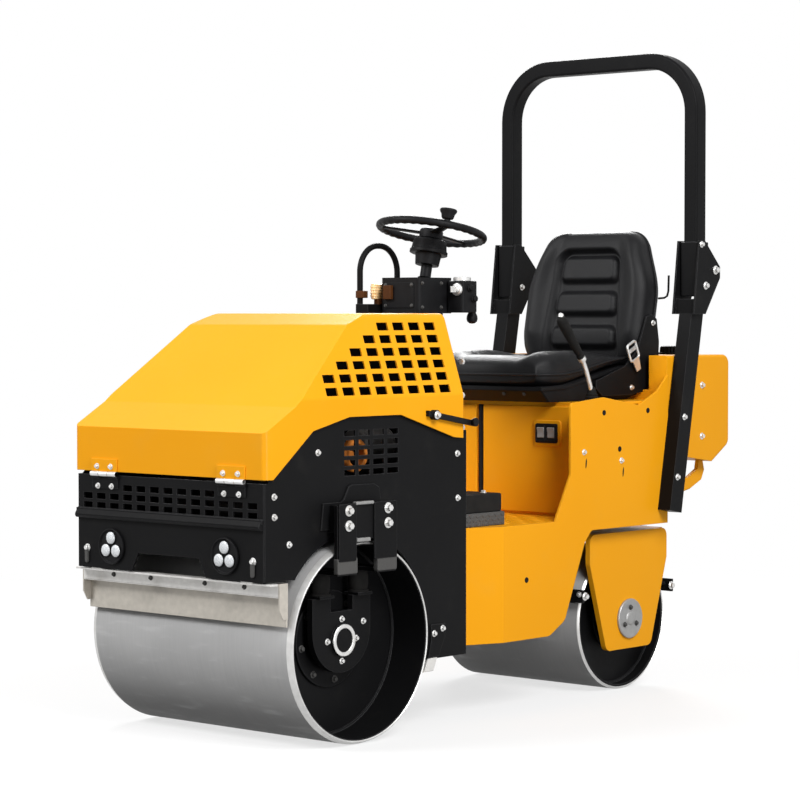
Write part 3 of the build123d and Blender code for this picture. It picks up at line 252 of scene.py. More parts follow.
# %% [markdown]
# ## Steel
# A drum is rolled bare steel: faint rings from the lathe run round it, with patches where it has rolled.
# Its rims are freshly machined and bright. Fasteners and the scraper are zinc plated, brighter and finer,
# and the engine is cast iron under thin paint.


# %% Drum steel
def drum_steel():
    steel = Finish("rolled_drum_steel", Specular_IOR_Level=0.06)
    rings = steel.noise(240, 3, (1, 0.03, 0.03))
    patches = steel.noise(5, 4)
    grain = steel.noise(420)
    scuffs = steel.band(steel.noise(46, 5, (0.25, 1, 1)), 0.56, 0.72)
    tint = steel.blend(patches * 0.6 + rings * 0.4, (0.36, 0.36, 0.362), (0.53, 0.528, 0.525))
    steel.surface(Base_Color=steel.blend(scuffs * 0.35, tint, (0.56, 0.56, 0.56)))
    steel.surface(Metallic=0.04 + 0.10 * scuffs, Roughness=0.40 + 0.16 * patches + 0.08 * grain)
    steel.bump(rings * 0.7 + grain * 0.3, distance=0.0003, strength=0.5)
    return steel.material

add_finishes(drum_steel=drum_steel())


# %% Zinc plate
def zinc_plate(name, tone, metal=0.75, warm=0.0):
    """tone is the brightness, metal how mirror-like it is, warm how far it leans from grey to straw."""
    zinc = Finish(name)
    bloom = zinc.noise(60, 4)
    stain = zinc.band(zinc.noise(14, 5), 0.5, 0.8)
    light = (tone, tone * (0.995 - 0.4 * warm), tone * (0.98 - warm))
    plated = zinc.blend(bloom, tuple(0.7 * level for level in light), light)
    zinc.surface(Base_Color=zinc.blend(stain * 0.3, plated, (tone * 0.5, tone * 0.46, tone * 0.40)))
    zinc.surface(Metallic=metal - 0.2 * stain, Roughness=0.26 + 0.2 * bloom)
    zinc.bump(zinc.noise(900, 2), distance=0.0002, strength=0.3, radius=0.0006)
    return zinc.material

bolt_zinc = zinc_plate("bolt_zinc", tone=0.80)
rim_steel = zinc_plate("machined_rim_steel", tone=0.74, metal=0.6)
# The scraper's lip and sheet are one steel in two tones: lighter on the lip as a painted highlight, darker and
# warmer on the sheet as painted shade.
lit_lip_steel = zinc_plate("bright_lip_steel_painted_highlight", tone=0.80, metal=0.4, warm=0.03)
add_finishes(grey_steel=zinc_plate("scraper_zinc_painted_shade", tone=0.58, metal=0.30, warm=0.16))


# %% Cast iron
def cast_iron(name, low, high):
    iron = Finish(name, Specular_IOR_Level=0.25)
    scale = iron.noise(180, 4)
    iron.surface(Base_Color=iron.blend(iron.noise(7, 4), low, high), Roughness=0.5 + 0.2 * scale)
    iron.bump(scale, distance=0.0008, strength=0.5, radius=0.003)
    return iron.material


# A grey paint: worn grey on the feet, hooks and treads, and a painted sheen on the hub screws.
worn_and_sheen_grey = cast_iron("worn_and_sheen_grey_paint", (0.045, 0.044, 0.043), (0.085, 0.083, 0.08))
pulley_red = cast_iron("pulley_primer", (0.55, 0.16, 0.02), (0.75, 0.25, 0.04))
add_finishes(engine_iron=cast_iron("painted_cast_iron", (0.016, 0.016, 0.018), (0.045, 0.045, 0.048)))

# %% [markdown]
# ## Plastic, rubber, vinyl and glass
# Moulded plastic has a fine leather grain from the tool. Rubber is duller, with a bloom. The seat skin is
# grained vinyl: cells about a millimetre and a half wide with creases between them, glossier on the crowns.
# A lamp lens is fluted inside, which the same cells show as a faint pattern.


# %% Moulded plastic
def moulded_plastic(name, low, high):
    plastic = Finish(name, Specular_IOR_Level=0.09)
    wear = plastic.noise(28)
    plastic.surface(Base_Color=plastic.blend(wear, low, high), Roughness=0.36 + 0.2 * wear)
    plastic.bump(plastic.cells(700), distance=0.0003, strength=0.4, radius=0.0025)
    return plastic.material

rocker_grey = moulded_plastic("rocker_grey_plastic", (0.26, 0.26, 0.26), (0.36, 0.36, 0.36))
# Brown for black plastic near the hood: a painted reflection of the yellow.
reflection_brown_plastic = moulded_plastic("brown_painted_reflection", (0.045, 0.016, 0.005), (0.085, 0.030, 0.008))
dark, worn = (0.0045, 0.0045, 0.005), (0.010, 0.010, 0.011)
add_finishes(black_plastic=moulded_plastic("moulded_black_plastic", dark, worn))


# %% Rubber and seat vinyl
def black_rubber():
    rubber = Finish("black_rubber", Specular_IOR_Level=0.07)
    bloom = rubber.noise(35, 5)
    rubber.surface(Base_Color=rubber.blend(bloom, (0.006, 0.006, 0.006), (0.022, 0.021, 0.020)))
    rubber.surface(Roughness=0.62 + 0.2 * bloom)
    rubber.bump(rubber.noise(500), distance=0.0004, strength=0.5, radius=0.002)
    return rubber.material


def seat_vinyl():
    vinyl = Finish("grained_seat_vinyl", Specular_IOR_Level=0.16)
    crease = vinyl.band(vinyl.cells(620, "DISTANCE_TO_EDGE"), 0.0, 0.18)
    rub = vinyl.noise(16, 4)
    vinyl.surface(Base_Color=vinyl.blend(rub, (0.0045, 0.0045, 0.005), (0.009, 0.009, 0.010)))
    vinyl.surface(Roughness=0.32 + 0.14 * rub + 0.06 * crease)
    vinyl.bump(crease * 0.8 + vinyl.noise(1500, 2) * 0.2, distance=0.0003, strength=0.35)
    return vinyl.material

add_finishes(black_rubber=black_rubber(), seat_vinyl=seat_vinyl())


# %% Lamp glass
def lamp_glass(name, clear, shade):
    glass = Finish(name, Specular_IOR_Level=0.5, Coat_Roughness=0.05)
    flutes = glass.cells(260)
    glass.surface(Base_Color=glass.blend(flutes, clear, shade))
    glass.surface(Roughness=0.10 + 0.12 * flutes, Coat_Weight=0.4 + 0.3 * flutes)
    glass.bump(flutes, distance=0.0006, strength=0.5)
    return glass.material


add_finishes(lamp_glass=lamp_glass("clear_lamp_lens", (0.86, 0.87, 0.88), (0.50, 0.53, 0.56)))

# %% [markdown]
# ## Dressing the solids
# Each solid names its finish in the record. The mesh stays as it is; only its material slot changes.

# %% Give every solid its finish
slot_of = {part["node"]: part["material_slot"] for part in frame["record"]["subparts"]}
for name, solid in nodes.items():
    solid.material_slots[0].material = finishes[slot_of[name]]
print("dressed", len(slot_of), "solids")

# %% [markdown]
# ## Building pieces from rings
# Most small parts of a machine are a row of rings with a skin over them: a bolt, a knob, a bent tube, a
# moulded block. One class collects such skins, in millimetres as on a drawing, and turns them into a single
# smooth piece in metres. What is alike on both sides is drawn on the left, where x is above 0, and mirrored.

# %% Directions, circles and outlines
SIDES = (1, -1)
LEFT, FRONT, REAR, UP = (1, 0, 0), (0, -1, 0), (0, 1, 0), (0, 0, 1)


def turned(axis):
    """The axis as a unit vector, and two directions square to it, all three right-handed."""
    axis = Vector(axis).normalized()
    guide = Vector((0, 0, 1)) if abs(axis.z) < 0.9 else Vector((1, 0, 0))
    side = guide.cross(axis).normalized()
    return axis, side, axis.cross(side)


def circle(count, first=0.0):
    """Angles that stand evenly round a circle."""
    return [first + 2 * pi * k / count for k in range(count)]


def round_rectangle(half_wide, half_high, corner):
    """Points round a rectangle about 0, five in each rounded corner."""
    points = []
    for quarter, (u, v) in enumerate(((1, 1), (-1, 1), (-1, -1), (1, -1))):
        for angle in [pi / 2 * (quarter + k / 4) for k in range(5)]:
            points.append((u * (half_wide - corner) + corner * cos(angle),
                           v * (half_high - corner) + corner * sin(angle)))
    return points


def drawn_at(x, outline):
    """A side view, in (y, z) pairs, at one x."""
    return [(x, y, z) for y, z in outline]


def around_x(middle, radius, angles):
    """Points on a circle that is square to the machine's width."""
    return [Vector(middle) + Vector((0, radius * cos(a), radius * sin(a))) for a in angles]


print("a rounded rectangle has", len(round_rectangle(2, 2, 1)), "points")


# %% Skins, turned parts and tubes
class Rings:
    """Collects skins over rings, in millimetres."""

    def __init__(self):
        self.points = []
        self.faces = []

    def skin(self, rings, wrap=False):
        """Join each ring to the next. Both ends get a cap, or wrap joins the last ring to the first."""
        start, count, rows = len(self.points), len(rings[0]), len(rings)
        for ring in rings:
            self.points.extend(Vector(p) for p in ring)
        for row in range(rows if wrap else rows - 1):
            here, there = start + row * count, start + (row + 1) % rows * count
            for k in range(count):
                n = (k + 1) % count
                self.faces.append((here + k, here + n, there + n, there + k))
        if not wrap:
            self.faces.append(tuple(reversed(range(start, start + count))))
            self.faces.append(tuple(range(start + (rows - 1) * count, start + rows * count)))
        return self

    def lathe(self, profile, base, axis, count=32, wrap=False):
        """Turn (height, radius) pairs about an axis that starts at base."""
        axis, side, other = turned(axis)
        base = Vector(base)
        spokes = [side * cos(a) + other * sin(a) for a in circle(count)]
        return self.skin([[base + axis * h + spoke * r for spoke in spokes] for h, r in profile], wrap)

    def tube(self, path, radius, count=12, wrap=False):
        """A round bar along points, closed to a loop by wrap."""
        path = [Vector(p) for p in path]
        count_along = len(path)
        if wrap:
            heading = [path[(k + 1) % count_along] - path[k - 1] for k in range(count_along)]
        else:
            heading = [path[min(k + 1, count_along - 1)] - path[max(k - 1, 0)] for k in range(count_along)]
        side = turned(heading[0])[1]
        rings = []
        for point, ahead in zip(path, heading):
            ahead = ahead.normalized()
            side = (side - ahead * side.dot(ahead)).normalized()
            other = ahead.cross(side)
            rings.append([point + (side * cos(a) + other * sin(a)) * radius for a in circle(count)])
        return self.skin(rings, wrap)


print("a turned disc has", len(Rings().lathe([(0, 5), (1, 5)], (0, 0, 0), UP).faces), "faces")

# %% [markdown]
# Bar and sheet are rows of rings too: a block is a stack of rounded rectangles, a plate is an outline drawn
# out, and a bolt head is turned with only six sides.


# %% Blocks, plates and bolts
class Stock(Rings):
    """Rings in the forms that a workshop buys or cuts."""

    def block(self, low, high, corner=4, edge=2, axis="z"):
        """A box from low to high. corner rounds it about one axis, edge softens its two ends."""
        a, b, c = {"z": (0, 1, 2), "y": (2, 0, 1), "x": (1, 2, 0)}[axis]
        low, high = Vector(tuple(map(min, low, high))), Vector(tuple(map(max, low, high)))
        middle, half = (low + high) / 2, (high - low) / 2
        soft = [(0, edge), (edge * 0.3, edge * 0.3), (edge, 0)]
        levels = [(low[c] + t, i) for t, i in soft] + [(high[c] - t, i) for t, i in reversed(soft)]
        rings = []
        for level, inset in levels:
            ring = []
            turn = max(corner - inset, edge * 0.3)
            for u, v in round_rectangle(half[a] - inset, half[b] - inset, turn):
                point = Vector()
                point[a], point[b], point[c] = middle[a] + u, middle[b] + v, level
                ring.append(point)
            rings.append(ring)
        return self.skin(rings)

    def plate(self, outline, depth, edge=0.8):
        """A flat outline of points, drawn out along the vector depth, with softened rims."""
        outline, depth = [Vector(p) for p in outline], Vector(depth)
        middle = sum(outline, Vector()) / len(outline)
        inner = [p + (middle - p).normalized() * edge for p in outline]
        step = depth.normalized() * edge
        return self.skin([inner, [p + step for p in outline], [p + depth - step for p in outline],
                          [p + depth for p in inner]])

    def bolt(self, place, axis, across, washer=True):
        """A hexagon bolt head with a chamfered crown, on a washer."""
        rise = 0.0
        if washer:
            rise = 0.1 * across
            disc = [(0, 0.86 * across), (0.7 * rise, 0.86 * across), (rise, 0.8 * across)]
            self.lathe(disc, place, axis, 24)
        hexagon = across / 3**0.5
        head = [(rise, hexagon), (rise + 0.5 * across, hexagon), (rise + 0.62 * across, 0.86 * hexagon)]
        return self.lathe(head, place, axis, 6)

    def mirror(self):
        """Add the same again on the machine's other side."""
        count = len(self.points)
        self.points += [Vector((-p.x, p.y, p.z)) for p in self.points]
        self.faces += [tuple(k + count for k in reversed(face)) for face in self.faces]
        return self


print("a bolt head on its washer has", len(Stock().bolt((0, 0, 0), UP, 10).faces), "faces")

# %% [markdown]
# A finished shape becomes one object: its faces turned outwards, smooth but for its sharp edges, in its own
# finish. It rides on a body of the machine, and may stand for a solid, which is then hidden.


# %% From a shape to a piece
class Shape(Stock):
    """A shape that can be made into one piece of the scene."""

    def piece(self, name, slot, body="frame", look=None, bend=32, stands_for=None):
        """Make the object. Edges that turn by more than bend degrees stay sharp."""
        mesh = bpy.data.meshes.new(name)
        mesh.from_pydata([p / 1000 for p in self.points], [], self.faces)
        work = bmesh.new()
        work.from_mesh(mesh)
        bmesh.ops.recalc_face_normals(work, faces=work.faces)
        work.to_mesh(mesh)
        work.free()
        mesh.shade_smooth()
        mesh.set_sharp_from_angle(angle=radians(bend))
        mesh.materials.append(look or finishes[slot])
        made = put_in_scene(name, mesh)
        if bend < 90:
            made.modifiers.new("flat faces stay flat", "WEIGHTED_NORMAL").keep_sharp = True
        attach(made, body)
        if stands_for:
            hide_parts(stands_for)
        print(name, len(mesh.polygons), "faces on", body)
        return made


# %% [markdown]
# A bolt needs a seat: the place where its head rests and the way it faces. Bolts of one kind on one body
# are one piece, because nobody would move them apart.


# %% Bolts on their seats, and places taken from the solids
def mirrored(places):
    """Seats on the left and their mirror images, all facing outwards."""
    return [(Vector((side * x, y, z)), (side, 0, 0)) for side in SIDES for x, y, z in places]


def facing(axis, places):
    return [(Vector(place), axis) for place in places]


def bolts(name, across, seats, body="frame", look=bolt_zinc, slot="grey_steel", washer=True):
    """One piece of bolt heads; across is their size over the flats."""
    heads = Shape()
    for place, axis in seats:
        heads.bolt(place, axis, across, washer)
    heads.piece(name, slot, body, look)


def joint_place(name):
    return 1000 * Vector(next(joint for joint in frame["joints"] if joint["name"] == name)["pos_m"])


def node_box(name):
    return [1000 * Vector(corner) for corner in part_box(name)]


print("hood hinge line at", [round(v) for v in joint_place("hood_tilt")])

# %% [markdown]
# ## Drums
# A drum is a rolled plate welded to two dished heads, then turned true. One lathe could make it in a single
# skin, but the face, the rims and the painted inside have three finishes, so each gets its own closed ring.

# %% Drum faces, rims and painted insides
drum_wall = 14
drum_count = 160


def dress_drum(body, recess, rim_run, rim_fall, bare):
    """recess is how deep the head lies, rim_run and rim_fall the turned rim, bare its unpainted wall."""
    axle, half = joint_place(body + "_spin"), node_box(body + "_shell")[1].x
    radius, inner = axle.z, axle.z - drum_wall
    shoulder, head, painted = half - rim_run, half - recess, radius - bare
    band = [(-shoulder, radius), (shoulder, radius), (shoulder, inner), (-shoulder, inner)]
    face = Shape().lathe(band, axle, LEFT, drum_count, wrap=True)
    face.piece(body + "_face", "drum_steel", body, stands_for=body + "_shell")
    edge = [(shoulder, radius), (half - 3, radius - rim_fall), (half, radius - rim_fall - 3),
            (half, painted + 2), (half - 2, painted), (shoulder, painted)]
    rims = Shape().lathe(edge, axle, LEFT, drum_count, wrap=True)
    rims.mirror().piece(body + "_rims", "drum_steel", body, rim_steel)
    inside = [(head, inner - 0.5), (half - 3, inner - 0.5), (half - 3, painted), (head, painted)]
    liner = Shape().lathe(inside, axle, LEFT, drum_count, wrap=True)
    weld = around_x(axle + Vector((head + 2, 0, 0)), inner - 3, circle(96))
    liner.tube(weld, 5, 8, wrap=True)
    liner.mirror().piece(body + "_inside", "black_paint", body)


dress_drum("front_drum", recess=130, rim_run=18, rim_fall=5, bare=11.5)
dress_drum("rear_drum", recess=44, rim_run=7, rim_fall=3, bare=7.5)

# %% [markdown]
# The hub flange is bolted to the head by a ring of screws. They show as faint grey points in the dark of
# the drum, so they take a grey paint that is a painted sheen on their black heads.


# %% Hub flanges with their screws
def hub_flange(body, face, radius, screws, first):
    middle = joint_place(body + "_spin") + Vector((face, 0, 0))
    flange = Shape().lathe([(0, radius), (6, radius), (8, radius - 2), (8, 58)], middle, LEFT, 96)
    flange.mirror().piece(body + "_hub_flanges", "black_paint", body)
    seats = around_x(middle + Vector((8, 0, 0)), radius - 20, circle(screws, radians(first)))
    # The screws' grey is a painted sheen on black heads.
    bolts(body + "_hub_screws", 12, mirrored(seats), body, worn_and_sheen_grey, "black_paint")


hub_flange("front_drum", face=264.5, radius=135, screws=8, first=9)
hub_flange("rear_drum", face=239.5, radius=100, screws=6, first=0)

# %% [markdown]
# ## Drum carriers
# The front drum hangs on rubber between a black hanger outside and a carrier inside the drum. The bearing
# shows as a bright ring with four bolts round it and a fifth further out, and the hanger's feet are scuffed
# grey where the mounts sit. All of these are turned, apart from the feet, which are blocks.

# %% Bearing rings and carrier bolts
axle_y, axle_z = -729, 280
ring_profile = [(0, 44.5), (3, 44.5), (4.2, 43), (4.2, 34.5), (3, 33), (0, 33)]
rings = Shape().lathe(ring_profile, (325.5, axle_y, axle_z), LEFT, 56, wrap=True)
rings.mirror().piece("bearing_rings", "grey_steel", look=bolt_zinc)
carrier_places = [(0, 58), (0, -58), (-58, 0), (58, 0), (87, 45)]
bolts("carrier_bolts", 10.5, mirrored([(317.5, axle_y + y, axle_z + z) for y, z in carrier_places]))

# %% Rubber mounts, hanger feet and hanger bolts
barrel = [(0, 30), (6, 30), (6.5, 25.5), (20, 28.2), (42, 28.2), (55.5, 25.5), (56, 30), (62, 30)]
mounts, feet = Shape(), Shape()
for end in SIDES:
    mounts.lathe(barrel, (307.5, axle_y + end * 77, 408), UP, 40)
    feet.block((398, axle_y + end * 40, 473), (415, axle_y + end * 120, 517), 5, 3, "x")
mounts.mirror().piece("rubber_mount_barrels", "black_rubber", stands_for="rubber_mounts")
feet.mirror().piece("hanger_feet", "black_paint", look=worn_and_sheen_grey)
bolts("hanger_bolts", 17.5, mirrored([(418, axle_y + end * 79, z) for end in SIDES for z in (645, 604)]))

# %% [markdown]
# Two thick arms and a gusset stiffen each hanger. Two ledges between the arms are a piece of their own in
# a dull grey steel, darker than the bolts, whose lightness is a painted highlight along the hanger's edges.

# %% Hanger arms, ledges and the gusset behind them
arms, ledges = Shape(), Shape()
gusset = [(-868, 592), (-859, 665), (-792, 665), (-778, 672), (-758, 706), (-745, 712), (-653, 710),
          (-632, 699), (-624, 660), (-640, 592)]
for near, far in ((-846, -777), (-704, -612)):
    arms.block((411, near, 508), (418, far, 664), 4, 2, "x")
arms.plate(drawn_at(364, gusset), (7, 0, 0), 2)
ledges.block((404, -780, 659), (420, -708, 668), 3, 2.5, "y")
ledges.block((404, -776, 558), (420, -722, 569), 3, 2.5, "y")
arms.mirror().piece("hanger_arms", "black_paint")
# Grey steel on the ledges is a painted highlight along the hanger's edges.
lit_ledge_steel = zinc_plate("ledge_steel_painted_highlight", tone=0.30, metal=0.2)
ledges.mirror().piece("hanger_ledges", "grey_steel", look=lit_ledge_steel)

# %% [markdown]
# ## Black panels
# Cap screws hold the side panels to the frame. Their places come from the photograph, one side, and the
# other side mirrors them. A black bracket at the rear foot carries the bare trailing scraper.

# %% Side panel screws and scraper brackets
panel_places = [(365, -1043, 692), (365, -1042, 638), (365, -874, 803), (365, -295, 778), (365, -293, 651),
                (365, -986, 562), (370, -364, 284), (370, -401, 272)]
bolts("side_panel_screws", 10.8, mirrored(panel_places))
bracket = [(-426, 204), (-380, 206), (-352, 262), (-352, 298), (-414, 298), (-414, 250)]
brackets = Shape().plate(drawn_at(365, bracket), (5, 0, 0), 1)
brackets.mirror().piece("trailing_scraper_brackets", "black_paint")
shoe = [(-440, 166), (-400, 166), (-384, 203), (-424, 203)]
shoes = Shape().plate(drawn_at(358, shoe), (9, 0, 0), 1)
shoes.mirror().piece("trailing_scraper_shoes", "grey_steel", look=lit_lip_steel)

# %% [markdown]
# ## Front lamps
# Each lamp is a black bowl with three clear lenses in it. The solid is one round block, so this piece
# replaces it: a turned bowl with a rim, and three domes that stand in it, one above two.

# %% Lamp bowls and lenses
lamp_at = Vector((224, -1083, 530))
lens_ring = 23.5
bowl = [(0, 48), (1, 50), (6.5, 50), (8.5, 48.5), (8.8, 46.8), (5, 45.2), (4, 44), (3.8, 4)]
collar = [(3.4, 19.5), (6.2, 19.5), (6.8, 18.8), (6.8, 17.4), (3.4, 17.4)]
dome = [(3, 17.2), (6.5, 17.4), (8.8, 16.2), (10.8, 12.5), (12, 7), (12.3, 1.5)]
bowls, lenses = Shape().lathe(bowl, lamp_at, FRONT, 64), Shape()
for angle in circle(3, pi / 2):
    seat = lamp_at + Vector((lens_ring * cos(angle), 0, lens_ring * sin(angle)))
    bowls.lathe(collar, seat, FRONT, 36, wrap=True)
    lenses.lathe(dome, seat, FRONT, 36)
bowls.mirror().piece("lamp_bowls", "black_plastic", stands_for="front_lamps")
lenses.mirror().piece("lamp_lenses", "lamp_glass")

# %% [markdown]
# Under the grille a pressed rail runs across the nose, and a small hook hangs beside each lamp for lashing
# the machine to a trailer. Both are cut from plate, so both are outlines drawn out to a thickness.

# %% Rail under the grille
rail = [(-1083, 635), (-1087, 635), (-1099, 617), (-1099, 611), (-1095, 606), (-1083, 604)]
rail_half = 363
Shape().plate(drawn_at(-rail_half, rail), (2 * rail_half, 0, 0), 1.2).piece("grille_rail", "black_paint")

# %% Lashing hooks
hooks, hook_xs, nose_y = Shape(), (327, -327), -1083
tab = [(-6, 514), (6, 514), (6, 486), (4, 480), (-1, 478), (-5, 481), (-6, 487)]
for x in hook_xs:
    hooks.plate([(x + across, nose_y, z) for across, z in tab], (0, -6, 0))
hooks.piece("lashing_hooks", "black_paint", look=worn_and_sheen_grey)
bolts("lashing_screws", 12.5, facing(FRONT, [(x, nose_y, 521) for x in hook_xs]))

# %% [markdown]
# ## Front scraper
# A sheet of galvanised steel is folded twice: a lip that is screwed on, a shelf that goes back, and a blade
# that hangs close to the drum. The lip is one folded outline drawn across the machine, and the shelf and the
# blade are thin blocks that meet in a rounded fold.

# %% Folded scraper sheet
half = 384
lip_fold = [(-1077, 458), (-1049, 458), (-1047, 456), (-1047, 425), (-1042, 425), (-1042, 461), (-1044, 463),
            (-1077, 463)]
end_plate = [(-1047, 463), (-1015, 463), (-1015, 366), (-1032, 366), (-1047, 392)]
lip, sheet = Shape().plate(drawn_at(-half, lip_fold), (2 * half, 0, 0)), Shape()
sheet.block((-half, -1047, 425), (half, -1015, 430), 2.2, 1.5, "x")
sheet.block((-half - 4, -1021, 345), (half + 4, -1015, 430), 2.2, 1.5, "x")
for side in SIDES:
    sheet.plate(drawn_at(side * half, end_plate), (side * 5, 0, 0))
    lip.block((side * 274, -1078, 457), (side * 318, -1070, 500), 2, 1.5, "x")
# The sheet's darker, warmer zinc is painted shade and the lip's lighter steel a painted highlight, on one sheet of
# steel.
sheet.piece("front_scraper_sheet", "grey_steel", stands_for="front_scraper")
lip.piece("front_scraper_lip", "grey_steel", look=lit_lip_steel)
lip_seats = facing(FRONT, [(x, -1047, 447) for x in (-258, -107, 107, 258)])
bolts("scraper_screws", 8.5, lip_seats, look=worn_and_sheen_grey)

# %% [markdown]
# ## Hood fittings
# Two butt hinges carry the hood. The outer knuckles stay with the panel and the middle one turns with the
# hood, so the zinc sleeves are two pieces that ride two bodies and share the joint's own axis.

# %% Hinge sleeves and hinge screws
hinge_at = joint_place("hood_tilt") + Vector((250, 0, 0))
knuckle, knuckle_run = 7.4, 103 / 3
fixed_sleeves, hood_sleeves = Shape(), Shape()
knuckles = ((-1.5, 0.96, fixed_sleeves), (0.54, 0.96, fixed_sleeves), (-0.5, 1.0, hood_sleeves))
for start, share, sleeves in knuckles:
    run = share * knuckle_run
    sleeve = [(0, knuckle - 1.2), (1, knuckle), (run - 1, knuckle), (run, knuckle - 1.2)]
    sleeves.lathe(sleeve, hinge_at + Vector((start * knuckle_run, 0, 0)), LEFT, 28)
fixed_sleeves.mirror().piece("hinge_sleeves_fixed", "grey_steel", look=bolt_zinc)
hood_sleeves.mirror().piece("hinge_sleeves_hood", "grey_steel", "hood", bolt_zinc)
screw_xs = (-278, -222, 222, 278)
bolts("hinge_screws_hood", 9.8, facing(FRONT, [(x, -1091, 752) for x in screw_xs]), "hood")
bolts("hinge_screws_panel", 9.8, facing(FRONT, [(x, -1087, 697) for x in screw_xs]))

# %% [markdown]
# A latch on each side turns on a screw and is worked by a plastic knob. The solid has the latch bar, so
# only the two turned parts are added.

# %% Hood latches: pivot screw and finger knob
bolts("latch_screws", 13.5, mirrored([(394, -416, 892)]), "hood")
finger_knob = [(-3, 9), (4, 9.5), (6, 12), (12, 12.5), (13.5, 11), (14, 3)]
knobs = Shape().lathe(finger_knob, (388, -252, 867), LEFT, 28)
knobs.mirror().piece("latch_knobs", "black_plastic", "hood")

# %% [markdown]
# ## Engine
# The solid is a plain block at the engine's place. With the hood up it would look like a crate, so inside
# the same box stand a crankcase, a finned cylinder, a fan housing, a muffler, an air cleaner and a battery.

# %% Crankcase, fins and covers
engine = Shape()
engine.block((-150, -770, 588), (150, -480, 716), 22, 6)
engine.block((-176, -740, 588), (176, -510, 612), 10, 4)
for z in range(722, 834, 14):
    engine.block((-126, -738, z), (126, -530, z + 7), 16, 2)
engine.block((-104, -716, 714), (104, -552, 838), 20, 4)
engine.block((-96, -722, 838), (96, -546, 868), 24, 8)
fan_housing = [(0, 136), (30, 142), (60, 137), (72, 124), (78, 112), (78, 86), (62, 82), (60, 20)]
engine.lathe(fan_housing, (0, -772, 732), FRONT, 64)
output_shaft = [(0, 70), (50, 70), (56, 62), (80, 58), (84, 40), (128, 36), (130, 20)]
engine.lathe(output_shaft, (0, -480, 664), REAR, 40)
engine.tube([(110, -600, 790), (150, -590, 796), (178, -560, 800), (184, -520, 802)], 20, 16)
engine.piece("engine_castings", "engine_iron", stands_for="engine")

# %% Muffler, air cleaner, filter and battery
can = [(0, 30), (4, 46), (10, 50), (14, 50), (16, 53), (20, 53), (22, 50), (118, 50), (120, 53), (124, 53),
       (126, 50), (132, 46), (136, 30)]
Shape().lathe(can, (176, -530, 802), REAR, 40).piece("muffler", "engine_iron", look=worn_and_sheen_grey)
air_bowl = [(0, 40), (4, 56), (30, 60), (34, 64), (40, 64), (44, 60), (130, 60), (134, 56), (136, 30)]
cleaner = Shape().lathe(air_bowl, (-164, -530, 800), REAR, 40)
cleaner.lathe([(0, 34), (80, 34), (86, 28), (88, 10)], (178, -650, 614), UP, 32)
battery_top = 734
cleaner.block((-226, -900, 588), (-100, -812, battery_top), 6, 3)
for x in range(-206, -120, 17):
    cleaner.lathe([(0, 9), (3, 9), (4, 7)], (x, -856, battery_top), UP, 16)
cleaner.piece("air_cleaner_and_battery", "black_plastic")
bolts("engine_nuts", 12, facing(UP, [(0, -690, 868), (0, -580, 868), (-140, -625, 716), (140, -625, 716)]))

# %% [markdown]
# An orange pulley shows through the slots of the left panel. It turns on a shaft from the engine, so it
# stands where the line of sight through those slots meets the inside of the panel.

# %% Pulley behind the side grille
pulley_y, pulley_z = -670, 786
pulley = Shape().lathe([(0, 12), (150, 12)], (150, pulley_y, pulley_z), LEFT, 24)
groove = [(0, 31), (2, 44), (6, 47), (20, 47), (24, 44), (26, 34), (24, 31)]
pulley.lathe(groove, (296, pulley_y, pulley_z), LEFT, 48, wrap=True)
pulley.piece("fan_pulley", "engine_iron", look=pulley_red)

# %% [markdown]
# ## Seat
# The real seat is moulded foam in a vinyl skin: a cushion with side rolls and a dished middle, and a
# backrest with forward wings and a broad border round three cross pads. A plain inflated box would lose the
# crisp channels, so each pad is a fine grid whose height is a formula, closed by a softer shell behind it.


# %% Pads from a height formula
def smooth(low, high, value):
    t = min(max((value - low) / (high - low), 0.0), 1.0)
    return t * t * (3 - 2 * t)


def hump(value, low, high, soft):
    return smooth(low - soft, low + soft, value) * (1 - smooth(high - soft, high + soft, value))


def spread(count):
    """Steps from -1 to 1 that crowd towards both ends."""
    return [0.55 * t + 0.45 * sin(pi / 2 * t) for t in (2 * k / count - 1 for k in range(count + 1))]


def pad(name, outline, crown, belly, place, cells, replaced):
    """A closed pad. outline(v) is its half width, crown and belly its two heights, place(x, v, h) a point.
    Across, u goes from -1 to 1; along, v goes from 0 to 1. Returns the points of its rim."""
    across, along = cells
    us, vs = spread(across), [0.5 + 0.5 * t for t in spread(along)]
    form, index = Shape(), {}
    for j, v in enumerate(vs):
        for i, u in enumerate(us):
            rim = i in (0, across) or j in (0, along)
            round_off = (1 - abs(u) ** 7) ** (1 / 3) * (1 - abs(2 * v - 1) ** 9) ** (1 / 3)
            x = u * outline(v)
            for face, height in (("top", crown), ("under", belly)):
                if rim and face == "under":
                    index[face, i, j] = index["top", i, j]
                    continue
                index[face, i, j] = len(form.points)
                form.points.append(place(x, v, 0 if rim else round_off * height(x, u, v)))
    for j in range(along):
        for i in range(across):
            for face in ("top", "under"):
                corners = ((i, j), (i + 1, j), (i + 1, j + 1), (i, j + 1))
                form.faces.append(tuple(index[face, a, b] for a, b in corners))
    made = form.piece(name, "seat_vinyl", bend=180, stands_for=replaced)
    swell = made.modifiers.new("soft skin", "SUBSURF")
    swell.levels = swell.render_levels = 1
    rim_at = [(u * outline(0), 0) for u in us] + [(outline(v), v) for v in vs[1:-1]]
    rim_at += [(u * outline(1), 1) for u in reversed(us)] + [(-outline(v), v) for v in reversed(vs[1:-1])]
    return [place(x, v, 0) for x, v in rim_at]


print("half way up a soft step is", smooth(0, 1, 0.5))

# %% [markdown]
# The cushion is deep at the front and shallow at the back, with a roll along each side. Three channels cross
# its dished middle, and a groove divides the middle from the rolls.

# %% Seat cushion
cushion_low, cushion_high = node_box("seat_cushion")


